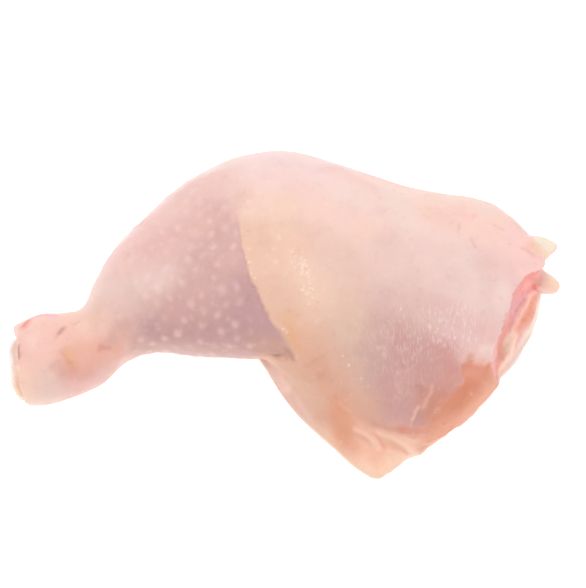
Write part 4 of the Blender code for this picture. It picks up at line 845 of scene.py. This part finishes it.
# Small touches: path, reach, colour, strength.
TOUCHES = (
    ("root of the lower tag", ((93.8, 12.4, 22.4), (93.4, 9.8, 23.2), (93.0, 6.8, 23.0)), 1.8, (255, 200, 189), 0.55),
    ("root of the upper tag", ((88.2, 17.4, 32.3), (90.4, 17.6, 31.4), (90.0, 14.2, 32.2)), 2.2, (250, 190, 172), 0.55),
    ("red spot", ((-92.2, -10.4, 24.6), (-90.9, -8.4, 24.0)), 1.6, (236, 120, 112), 0.75),
    ("red spot, tail", ((-91.4, -11.6, 26.2), (-90.4, -10.4, 25.8)), 1.0, (240, 150, 142), 0.5),
    ("pink line", ((-88.8, -5.9, 23.6), (-86.6, -5.6, 24.0), (-84.4, -5.9, 24.2), (-82.0, -6.2, 24.4)), 1.5, (253, 178, 196), 0.85),
    # Creases 1 to 5: painted shade in the hock's creases; crease 4 is the shadow line where the gristle cap meets the
    # skin.
    ("crease 1", ((-78.9, -15.2, 27.9), (-78.4, -14.2, 27.7), (-77.8, -13.2, 27.5)), 0.85, (190, 122, 128), 0.7),
    ("crease 1, tail", ((-80.2, -17.0, 28.2), (-79.0, -15.4, 28.0), (-77.3, -12.4, 27.3)), 0.75, (214, 162, 160), 0.4),
    ("crease 2", ((-74.2, -11.1, 26.4), (-73.4, -10.1, 26.0), (-72.6, -9.1, 25.7)), 0.6, (208, 158, 156), 0.4),
    ("crease 3", ((-81.5, -28.1, 26.4), (-80.3, -26.9, 26.7), (-78.9, -25.6, 26.8)), 0.8, (214, 164, 154), 0.35),
    ("crease 4", ((-93.2, -19.6, 26.2), (-93.2, -21.4, 26.1), (-92.8, -23.6, 26.0)), 0.75, (184, 134, 116), 0.75),
    ("crease 5", ((-65.0, -20.4, 25.6), (-64.4, -19.2, 26.0), (-63.0, -19.6, 25.4), (-61.6, -19.4, 24.8)), 0.9, (206, 140, 130), 0.5),
    ("hock orange edge", ((-92.6, -30.6, 21.6), (-91.9, -33.2, 18.6), (-91.1, -34.8, 14.0), (-91.4, -33.0, 8.0)), 1.1, (248, 200, 168), 0.6),
    # Front crease: painted shade in the crease.
    ("front crease", ((8.0, -26.0, 24.6), (10.4, -25.2, 26.6), (14.8, -23.6, 30.2)), 0.9, (208, 152, 130), 0.5),
    ("line below the speckles", ((8.4, -3.6, 38.9), (9.6, -9.0, 37.2), (10.4, -17.0, 33.6)), 0.6, (244, 204, 180), 0.5),
    # Front crease 2 and the front dent: painted shade in the crease and in the dent.
    ("front crease 2", ((-5.6, -18.8, 10.0), (-3.6, -19.2, 6.4), (-2.2, -20.4, 8.0)), 0.7, (216, 170, 152), 0.3),
    ("shade in the front dent", ((14.4, -29.6, 24.9), (12.6, -29.9, 23.6)), 1.8, (213, 156, 132), 0.5),
    # Thigh creases 1 to 5: painted shade in the fine creases.
    ("thigh crease 1", ((62.5, 23.8, 37.0), (62.0, 16.9, 38.5)), 0.6, (222, 184, 176), 0.5),
    ("thigh crease 2", ((60.0, 24.0, 37.4), (57.6, 22.3, 38.1)), 0.6, (228, 188, 178), 0.5),
    ("thigh crease 3", ((66.5, 17.6, 37.6), (67.9, 13.6, 37.9)), 0.8, (216, 184, 184), 0.5),
    ("thigh crease 4", ((75.4, 25.3, 33.6), (78.6, 23.8, 33.1)), 0.6, (228, 186, 178), 0.5),
    ("thigh crease 5", ((45.6, 9.4, 41.5), (44.8, 6.2, 41.5)), 0.7, (220, 186, 178), 0.4),
    ("streak A", ((44.9, -44.9, 20.4), (45.6, -43.8, 22.0), (45.9, -42.9, 23.1), (46.6, -41.8, 24.2)), 0.55, (246, 200, 178), 0.7),
    ("streak A, foot", ((44.3, -46.4, 18.0), (44.9, -44.9, 20.4)), 0.5, (240, 190, 168), 0.4),
    ("streak B", ((48.2, -42.0, 24.0), (49.0, -41.2, 24.8), (49.6, -39.6, 26.4), (50.9, -38.0, 27.6), (51.2, -36.2, 28.8)), 0.75, (234, 184, 168), 0.6),
    # Painted shade in the hollow.
    ("dark hollow", ((48.4, -38.2, 27.1), (46.4, -36.8, 28.7)), 1.3, (192, 138, 126), 0.4),
    ("muscle wrinkle 1", ((34.6, -20.0, 36.6), (36.0, -23.2, 35.4), (35.2, -26.4, 34.2)), 0.7, (230, 190, 180), 0.5),
    ("muscle wrinkle 2", ((39.6, -31.0, 31.4), (39.0, -34.6, 29.4), (40.2, -37.6, 27.2)), 0.7, (226, 182, 174), 0.5),
    ("muscle wrinkle 3", ((43.8, -30.0, 31.6), (43.2, -33.6, 29.6)), 0.7, (226, 182, 174), 0.4),
    ("small fold 1", ((20.0, -37.5, 17.6), (23.2, -39.8, 16.1)), 0.8, (240, 190, 160), 0.5),
    ("small fold 2", ((24.6, -41.4, 14.2), (27.2, -43.4, 12.3)), 0.8, (242, 190, 160), 0.5),
    # Painted shade in the notch under the knee.
    ("notch", ((1.2, -20.3, 24.4), (3.4, -22.0, 24.0)), 1.4, (196, 144, 120), 0.5),
    ("deep yellow", ((1.3, -12.5, 34.4), (1.9, -15.2, 32.8), (2.8, -17.9, 31.1)), 3.0, (233, 182, 138), 0.5),
    ("deep yellow, low", ((3.4, -18.6, 30.4), (4.6, -21.2, 28.8)), 2.2, (230, 176, 138), 0.5),
    # Painted shade in the crease where the upper tag meets the skin.
    ("tag crease", ((85.3, 16.3, 33.2), (87.0, 15.1, 33.1), (88.8, 13.7, 32.8)), 0.9, (240, 178, 168), 0.6),
)
UNDER_BASE = (240, 203, 186)


def blend(p, side):
    """The broad tones of one side, blended by nearness."""
    total, weight = np.zeros((len(p), 3)), np.zeros(len(p))
    for where, name, path, reach, tone in TONES:
        if where != side:
            continue
        path = np.array(path, float)
        d = np.full(len(p), 1e9)
        for a, b in zip(path, path[1:]):
            t = np.clip((p - a) @ (b - a) / ((b - a) @ (b - a)), 0, 1)
            d = np.minimum(d, ((p - a - t[:, None] * (b - a)) ** 2).sum(1))
        w = (1.0 + d / (1.15 * reach) ** 2) ** -3.0
        total += w[:, None] * srgb(*tone)
        weight += w
    return total / weight[:, None]


def paint(p, normal, inside_cut):
    """Colour of each vertex."""
    wobble = np.stack([Noise(71)(p, 7.0), Noise(72)(p, 7.0), Noise(73)(p, 7.0)], 1)
    fine = np.stack([Noise(74)(p, 2.8), Noise(75)(p, 2.8), Noise(76)(p, 2.8)], 1)
    q = p + 1.5 * wobble + 0.6 * fine
    past = lap_place(p)
    soft = 0.55 + 8.0 * step(18.0, 36.0, p[:, 1]) + 5.0 * step(0.1, -0.4, normal[:, 2])
    colour = blend(q, "leg")
    colour += step(-1.0, 1.0, past / soft)[:, None] * (blend(q, "thigh") - colour)
    near = np.flatnonzero(p[:, 0] > 40.0)
    bare = bare_place(p[near])
    soft = 0.6 + 2.6 * step(60.0, 52.0, p[near, 0])
    colour[near] += (step(1.0, -1.0, bare / soft) * step(2.0, 6.0, p[near, 2]))[:, None] * (blend(q[near], "bare") - colour[near])

    def lay(weight, tone, where=slice(None)):
        colour[where] += weight[:, None] * (srgb(*tone) - colour[where])

    lay(step(0.1, -0.7, normal[:, 2]) * step(14.0, 5.0, p[:, 2]) * 0.6, UNDER_BASE)
    on_tag = []
    for place, height, slope, half in TAGS:
        start = (87.0, 91.0) if height > 25 else (92.0, 93.6)
        on = step(1.2, -1.0, outline_distance(p[:, 0], p[:, 1], np.array(place))) * step(*start, p[:, 0])
        on_tag.append(on * step(4.0, 2.4, np.abs(p[:, 2] - height - slope * (p[:, 0] - 90.0))))
        inside_cut = inside_cut * (1.0 - on_tag[-1])
    meat = inside_cut * step(2.0, 5.0, p[:, 2])
    lay(meat, (240, 172, 162))
    lay(meat * step(-0.2, 0.6, lumps(61, p, (6.0, 7.0, 13.0), 2)) * 0.5, (247, 192, 178))
    lay(meat * step(0.2, 0.7, lumps(62, p, (6.0, 6.0, 11.0), 2)) * 0.4, (251, 210, 194))
    for name, path, reach, tone, strength, crisp in COATS:
        path = np.array(path, float)
        in_cut = name.startswith("hip")
        lo, hi = path.min(0) - 2.6 * reach - 4.0 * in_cut, path.max(0) + 2.6 * reach + 4.0 * in_cut
        near = np.flatnonzero(((p > lo) & (p < hi)).all(1))
        if not len(near):
            continue
        scale = (0.3, 1.0, 1.0) if in_cut else (1.0, 1.0, 1.0)
        d, _ = path_distance((p[near] + (wobble + 0.6 * fine)[near] * min(1.3, 0.26 * reach)) * scale, path * scale)
        lay(strength * np.exp(-((d / reach) ** crisp)) * (inside_cut[near] if in_cut else 1.0), tone, near)
    lay(0.95 * on_tag[0], (252, 236, 214))
    lay(0.6 * on_tag[0] * step(20.0, 15.0, p[:, 1]), (251, 210, 184))
    # Painted light: the lower tag is painted near white to lift the shade that the skin's lip above casts on it.
    lay(0.98 * on_tag[1], (255, 232, 221))
    lay(0.8 * on_tag[1] * step(93.2, 95.0, p[:, 0]) * step(10.5, 8.0, p[:, 1]), (255, 222, 196))
    lay(0.6 * on_tag[1] * step(9.0, 6.0, p[:, 1]), (252, 208, 184))
    for name, path, reach, tone, strength in TOUCHES:
        path = np.array(path, float)
        lo, hi = path.min(0) - 3.0 * reach, path.max(0) + 3.0 * reach
        near = np.flatnonzero(((p > lo) & (p < hi)).all(1))
        if not len(near):
            continue
        d, _ = path_distance(p[near] + fine[near] * 0.3, path)
        lay(strength * np.exp(-((d / reach) ** 2)), tone, near)
    return colour


# ---------------------------------------------------------------- meshes
def make_mesh(name, verts, faces, smooth=True):
    mesh = bpy.data.meshes.new(name)
    verts = (np.asarray(verts, float) + FRAME_SHIFT) * MM
    mesh.vertices.add(len(verts))
    mesh.vertices.foreach_set("co", verts.astype(np.float32).ravel())
    size = faces.shape[1]
    mesh.loops.add(faces.size)
    mesh.loops.foreach_set("vertex_index", faces.astype(np.int32).ravel())
    mesh.polygons.add(len(faces))
    mesh.polygons.foreach_set("loop_start", np.arange(0, faces.size, size, dtype=np.int32))
    mesh.update(calc_edges=True)
    mesh.validate()
    if smooth:
        mesh.shade_smooth()
    obj = bpy.data.objects.new(name, mesh)
    bpy.context.scene.collection.objects.link(obj)
    return obj


def add_colour(mesh, name, values):
    made = mesh.attributes.new(name, "FLOAT_COLOR", "POINT")
    full = np.ones((len(values), 4), np.float32)
    full[:, :3] = values
    made.data.foreach_set("color", full.ravel())


def add_number(mesh, name, values):
    made = mesh.attributes.new(name, "FLOAT", "POINT")
    made.data.foreach_set("value", np.asarray(values, np.float32))


def unfold(obj, rounds=8):
    """Smooths the few facets that fold over along thin edges."""
    mesh = obj.data
    mesh.calc_loop_triangles()
    tris = np.empty(len(mesh.loop_triangles) * 3, np.int32)
    mesh.loop_triangles.foreach_get("vertices", tris)
    tris = tris.reshape(-1, 3)
    for _ in range(rounds):
        verts, normal = read(mesh)
        facing = np.cross(verts[tris[:, 1]] - verts[tris[:, 0]], verts[tris[:, 2]] - verts[tris[:, 0]])
        facing /= np.maximum(np.linalg.norm(facing, axis=1, keepdims=True), 1e-12)
        folded = (facing * normal[tris].mean(1)).sum(1) < 0.1
        if not folded.any():
            break
        moved = np.zeros(len(verts), bool)
        moved[tris[folded]] = True
        moved[tris[moved[tris].any(1)]] = True
        near = moved[tris].any(1)
        total, count = np.zeros_like(verts), np.zeros(len(verts))
        for a, b in ((0, 1), (1, 2), (2, 0), (1, 0), (2, 1), (0, 2)):
            np.add.at(total, tris[near, a], verts[tris[near, b]])
            np.add.at(count, tris[near, a], 1)
        verts[moved] += 0.8 * (total[moved] / count[moved, None] - verts[moved])
        write(mesh, verts)


def make_leg():
    field, inner, cut = leg_field()
    verts, faces = surface(field, LOW, CELL)
    verts = relax(verts, faces, 2)
    verts[:, 2] = np.maximum(verts[:, 2], 0.0)
    obj = make_mesh("leg_skin", verts, faces)
    thin_underside(obj, FACES)
    verts, normal = read(obj.data)
    raised, follicle_and_painted_highlight, dot, pleat_and_painted_highlight, bead_and_painted_glint = fine_marks(verts, normal)
    write(obj.data, verts + normal * raised[:, None])
    unfold(obj)
    verts, normal = read(obj.data)
    past_cut = sample(cut, verts)
    depth = 0.9 + 2.6 * step(-22.5, -16.0, verts[:, 1])
    inside_cut = step(0.8, 0.3, sample(inner, verts)) * step(-depth - 0.8, -depth, past_cut) * step(1.2, 0.2, past_cut) * step(1.0, 2.4, verts[:, 2])
    add_colour(obj.data, "paint", paint(verts, normal, inside_cut))
    for name, values in (("follicle_and_painted_highlight", follicle_and_painted_highlight), ("dot", dot), ("pleat_and_painted_highlight", pleat_and_painted_highlight), ("bead_and_painted_glint", bead_and_painted_glint), ("meat", inside_cut)):
        add_number(obj.data, name, np.clip(values, 0, 1))
    return obj


def make_cap():
    cell = 0.42
    low, high = np.array((-101.5, -38.0, 1.0)), np.array((-86.0, -8.0, 28.0))
    count = np.ceil((high - low) / cell).astype(int) + 1
    axes = [low[i] + cell * np.arange(count[i]) for i in range(3)]
    p = np.stack(np.meshgrid(*axes, indexing="ij"), -1)
    f = true_distance(cap_field(p), cell)
    flat = p.reshape(-1, 3)
    f = f - (0.16 * lumps(81, flat, 4.0, 2) + 0.05 * Noise(82)(flat, 1.3)).reshape(f.shape)
    verts, faces = surface(f, low, cell)
    verts = relax(verts, faces, 2)
    obj = make_mesh("hock_gristle", verts, faces)
    side, out = hock_directions()
    d = verts - CAP_CENTRE
    s, o = d @ side, d @ out
    colour = np.tile(srgb(250, 223, 212), (len(verts), 1))
    wobble = 2.4 * Noise(83)(verts, 5.0) + 0.9 * Noise(84)(verts, 1.9)
    for weight, tone in (
        (step(-2.0, 5.4, s + wobble), (228, 214, 213)),
        (step(0.2, 6.0, s + wobble) * step(12.4, 8.0, s + wobble) * step(0.2, 1.4, o + 0.2 * wobble) * 0.9, (198, 199, 208)),
        (step(-2.8, -8.4, s + wobble), (246, 200, 170)),
        (step(7.4, 10.8, s + wobble), (238, 212, 205)),
        (step(1.7, 0.3, o + 0.3 * wobble) * step(-6.0, -2.0, s) * 0.7, (238, 200, 182)),
    ):
        colour += weight[:, None] * (srgb(*tone) - colour)
    add_colour(obj.data, "paint", colour)
    return obj


# ---------------------------------------------------------------- materials
class Nodes:
    """Short ways to add and link shader nodes."""

    def __init__(self, name):
        self.material = bpy.data.materials.new(name)
        self.material.use_nodes = True
        self.tree = self.material.node_tree
        self.shader = self.tree.nodes["Principled BSDF"]
        self.place = self.add("ShaderNodeTexCoord").outputs["Object"]

    def add(self, kind, inputs=None, **settings):
        node = self.tree.nodes.new(kind)
        for key, value in settings.items():
            setattr(node, key, value)
        for key, value in (inputs or {}).items():
            self.put(value, node.inputs[key])
        return node

    def put(self, value, socket):
        if isinstance(value, bpy.types.NodeSocket):
            self.tree.links.new(value, socket)
        else:
            socket.default_value = value

    def number(self, name):
        return self.add("ShaderNodeAttribute", attribute_name=name).outputs["Fac"]

    def colour(self, name):
        return self.add("ShaderNodeAttribute", attribute_name=name).outputs["Color"]

    def maths(self, operation, a, b=0.0, c=0.0):
        node = self.add("ShaderNodeMath", operation=operation)
        for value, socket in zip((a, b, c), node.inputs):
            self.put(value, socket)
        return node.outputs[0]

    def range(self, value, a, b, c, d, smooth=True):
        node = self.add("ShaderNodeMapRange", {"Value": value, "From Min": a, "From Max": b, "To Min": c, "To Max": d})
        node.interpolation_type = "SMOOTHSTEP" if smooth else "LINEAR"
        return node.outputs["Result"]

    def noise(self, scale, detail=2.0, rough=0.5, stretch=None, offset=(0, 0, 0), distortion=0.0):
        place = self.place
        if stretch or any(offset):
            mapping = self.add("ShaderNodeMapping", {"Vector": place, "Scale": stretch or (1, 1, 1), "Location": offset})
            place = mapping.outputs["Vector"]
        node = self.add("ShaderNodeTexNoise", {"Vector": place, "Scale": scale, "Detail": detail, "Roughness": rough, "Distortion": distortion})
        return node.outputs["Fac"]

    def cells(self, scale, feature="F1"):
        node = self.add("ShaderNodeTexVoronoi", {"Vector": self.place, "Scale": scale})
        node.feature = feature
        return node.outputs["Distance"]

    def mix(self, a, b, factor, blend="MIX"):
        node = self.add("ShaderNodeMix", data_type="RGBA", blend_type=blend, clamp_factor=True)
        self.put(factor, node.inputs[0])
        self.put(a, node.inputs[6])
        self.put(b, node.inputs[7])
        return node.outputs[2]

    def bump(self, height, distance, below=None, strength=1.0):
        node = self.add("ShaderNodeBump", {"Strength": strength, "Distance": distance, "Height": height})
        if below is not None:
            self.put(below, node.inputs["Normal"])
        return node.outputs["Normal"]


def rgba(*c):
    return (*[float(v) for v in c], 1.0)


def skin_material():
    n = Nodes("chicken_skin")
    colour = n.colour("paint")
    follicle_and_painted_highlight, dot, pleat_and_painted_highlight, bead_and_painted_glint, meat = (n.number(k) for k in ("follicle_and_painted_highlight", "dot", "pleat_and_painted_highlight", "bead_and_painted_glint", "meat"))
    # cloudy change of tone under the skin, pinker and yellower patches
    cloud = n.noise(95.0, 3.0, 0.55)
    colour = n.mix(colour, rgba(0.965, 0.94, 0.945), n.range(cloud, 0.45, 0.75, 0.0, 1.0), "MULTIPLY")
    warm = n.noise(60.0, 3.0, 0.55, offset=(0.31, 0.12, 0.4))
    colour = n.mix(colour, rgba(1.0, 0.97, 0.972), n.range(warm, 0.5, 0.72, 0.0, 1.0), "MULTIPLY")
    colour = n.mix(colour, rgba(1.0, 1.0, 0.955), n.range(warm, 0.48, 0.28, 0.0, 1.0), "MULTIPLY")
    # small pale flecks and darker pin points
    fleck = n.noise(330.0, 3.0, 0.6)
    colour = n.mix(colour, rgba(1.0, 0.9, 0.86), n.range(fleck, 0.56, 0.78, 0.0, 0.14))
    colour = n.mix(colour, rgba(0.93, 0.90, 0.90), n.range(fleck, 0.44, 0.25, 0.0, 0.8), "MULTIPLY")
    # follicles, dots, beads and pleats; the paler follicles, beads and pleat lines carry painted highlights
    # follicles: paler spots, partly their own tone, partly a painted highlight where the bumps catch the light
    colour = n.mix(colour, rgba(0.92, 0.67, 0.625), n.range(follicle_and_painted_highlight, 0.03, 1.0, 0.0, 0.47))
    colour = n.mix(colour, rgba(0.98, 0.76, 0.66), n.range(dot, 0.1, 0.9, 0.0, 0.42))
    # painted glints: the beads are painted paler in place of their highlights
    colour = n.mix(colour, rgba(1.0, 0.83, 0.71), n.range(bead_and_painted_glint, 0.15, 0.9, 0.0, 0.55))
    # pale lines along the fine pleats: painted highlights on their crests
    thread = n.noise(1.0, 1.5, 0.5, stretch=(1350.0, 420.0, 420.0), distortion=0.4)
    line = n.maths("MULTIPLY", n.range(thread, 0.48, 0.68, 0.0, 1.0), pleat_and_painted_highlight)
    colour = n.mix(colour, rgba(0.97, 0.78, 0.75), n.maths("MULTIPLY", line, 0.48))
    # fibres of the bare meat
    fibre = n.noise(1.0, 3.0, 0.6, stretch=(260.0, 620.0, 210.0))
    colour = n.mix(colour, rgba(0.90, 0.78, 0.78), n.maths("MULTIPLY", n.range(fibre, 0.5, 0.7, 0.0, 0.6), meat), "MULTIPLY")
    n.put(colour, n.shader.inputs["Base Color"])
    # wet gloss, uneven
    wet = n.noise(160.0, 3.0, 0.6, offset=(0.1, 0.7, 0.2))
    rough = n.range(wet, 0.35, 0.68, 0.44, 0.6)
    rough = n.maths("SUBTRACT", rough, n.maths("MULTIPLY", bead_and_painted_glint, 0.2))
    n.put(rough, n.shader.inputs["Roughness"])
    n.shader.inputs["Specular IOR Level"].default_value = 0.25
    n.shader.inputs["Subsurface Weight"].default_value = 0.16
    n.shader.inputs["Subsurface Radius"].default_value = (1.0, 0.42, 0.30)
    n.shader.inputs["Subsurface Scale"].default_value = 0.0014
    n.shader.inputs["Coat Weight"].default_value = 0.02
    n.shader.inputs["Coat Roughness"].default_value = 0.25
    # relief finer than the mesh
    grain = n.cells(1050.0)
    normal = n.bump(grain, 0.00004, strength=0.6)
    normal = n.bump(n.noise(430.0, 4.0, 0.6), 0.00014, normal, 0.6)
    normal = n.bump(line, 0.00012, normal, 0.7)
    normal = n.bump(n.maths("MULTIPLY", fibre, meat), 0.0003, normal, 0.7)
    n.put(normal, n.shader.inputs["Normal"])
    return n.material


def gristle_material():
    n = Nodes("hock_gristle")
    colour = n.colour("paint")
    cloud = n.noise(260.0, 3.0, 0.55)
    colour = n.mix(colour, rgba(0.92, 0.93, 0.96), n.range(cloud, 0.5, 0.72, 0.0, 0.9), "MULTIPLY")
    fleck = n.noise(900.0, 2.0, 0.6)
    colour = n.mix(colour, rgba(0.98, 0.96, 0.95), n.range(fleck, 0.6, 0.75, 0.0, 0.35))
    n.put(colour, n.shader.inputs["Base Color"])
    n.put(n.range(cloud, 0.3, 0.7, 0.2, 0.34), n.shader.inputs["Roughness"])
    n.shader.inputs["Subsurface Weight"].default_value = 0.35
    n.shader.inputs["Subsurface Radius"].default_value = (1.0, 0.85, 0.8)
    n.shader.inputs["Subsurface Scale"].default_value = 0.002
    n.shader.inputs["Coat Weight"].default_value = 0.25
    n.shader.inputs["Coat Roughness"].default_value = 0.12
    normal = n.bump(n.noise(520.0, 3.0, 0.6), 0.00012, strength=0.7)
    n.put(normal, n.shader.inputs["Normal"])
    return n.material


def floor_material():
    n = Nodes("floor")
    n.shader.inputs["Base Color"].default_value = (0.93, 0.93, 0.93, 1.0)
    n.shader.inputs["Roughness"].default_value = 0.9
    n.shader.inputs["Specular IOR Level"].default_value = 0.1
    n.shader.inputs["Emission Color"].default_value = (1.0, 1.0, 1.0, 1.0)
    n.shader.inputs["Emission Strength"].default_value = 0.55
    return n.material


# ---------------------------------------------------------------- stage
def stage():
    corners = np.array(((-1, -1, 0), (1, -1, 0), (1, 1, 0), (-1, 1, 0)), float) * 3.0
    mesh = bpy.data.meshes.new("floor")
    mesh.from_pydata(corners.tolist(), [], [(0, 1, 2, 3)])
    floor = bpy.data.objects.new("floor", mesh)
    bpy.context.scene.collection.objects.link(floor)
    floor.location = (0.0, 0.0, -0.0004)
    mesh.materials.append(floor_material())
    world = bpy.data.worlds.new("studio")
    world.use_nodes = True
    world.node_tree.nodes["Background"].inputs["Color"].default_value = (1.0, 1.0, 1.0, 1.0)
    world.node_tree.nodes["Background"].inputs["Strength"].default_value = 0.52
    bpy.context.scene.world = world
    for name, place, target, size, watts in (
        ("key", (-0.3, 0.2, 1.15), (0.0, 0.0, 0.02), 0.9, 7.0),
        ("fill", (0.7, -0.5, 0.8), (0.0, 0.0, 0.02), 0.9, 2.2),
    ):
        light = bpy.data.lights.new(name, "AREA")
        light.shape = "DISK"
        light.size = size
        light.energy = watts
        obj = bpy.data.objects.new(name, light)
        bpy.context.scene.collection.objects.link(obj)
        obj.location = place
        obj.rotation_euler = (Vector(target) - Vector(place)).to_track_quat("-Z", "Y").to_euler()
    camera = bpy.data.cameras.new("camera")
    camera.lens, camera.sensor_width, camera.sensor_fit = 120.0, 36.0, "HORIZONTAL"
    camera.clip_start, camera.clip_end = 0.05, 20.0
    obj = bpy.data.objects.new("camera", camera)
    bpy.context.scene.collection.objects.link(obj)
    elevation = math.radians(62.0)
    distance = 120.0 / 36.0 * 586.0 * 0.36
    look = np.array((3.2, 4.7, 20.0)) + FRAME_SHIFT
    place = look + distance * np.array((0.0, -math.cos(elevation), math.sin(elevation)))
    obj.location = tuple(place * MM)
    obj.rotation_euler = (math.radians(90.0 - 62.0), 0.0, 0.0)
    bpy.context.scene.camera = obj
    bpy.context.scene.view_settings.view_transform = "Standard"
    bpy.context.scene.view_settings.look = "None"


leg = make_leg()
leg.data.materials.append(skin_material())
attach(leg, "root")
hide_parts("leg_quarter")
cap = make_cap()
cap.data.materials.append(gristle_material())
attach(cap, "root")
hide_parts("hock_cartilage")
stage()
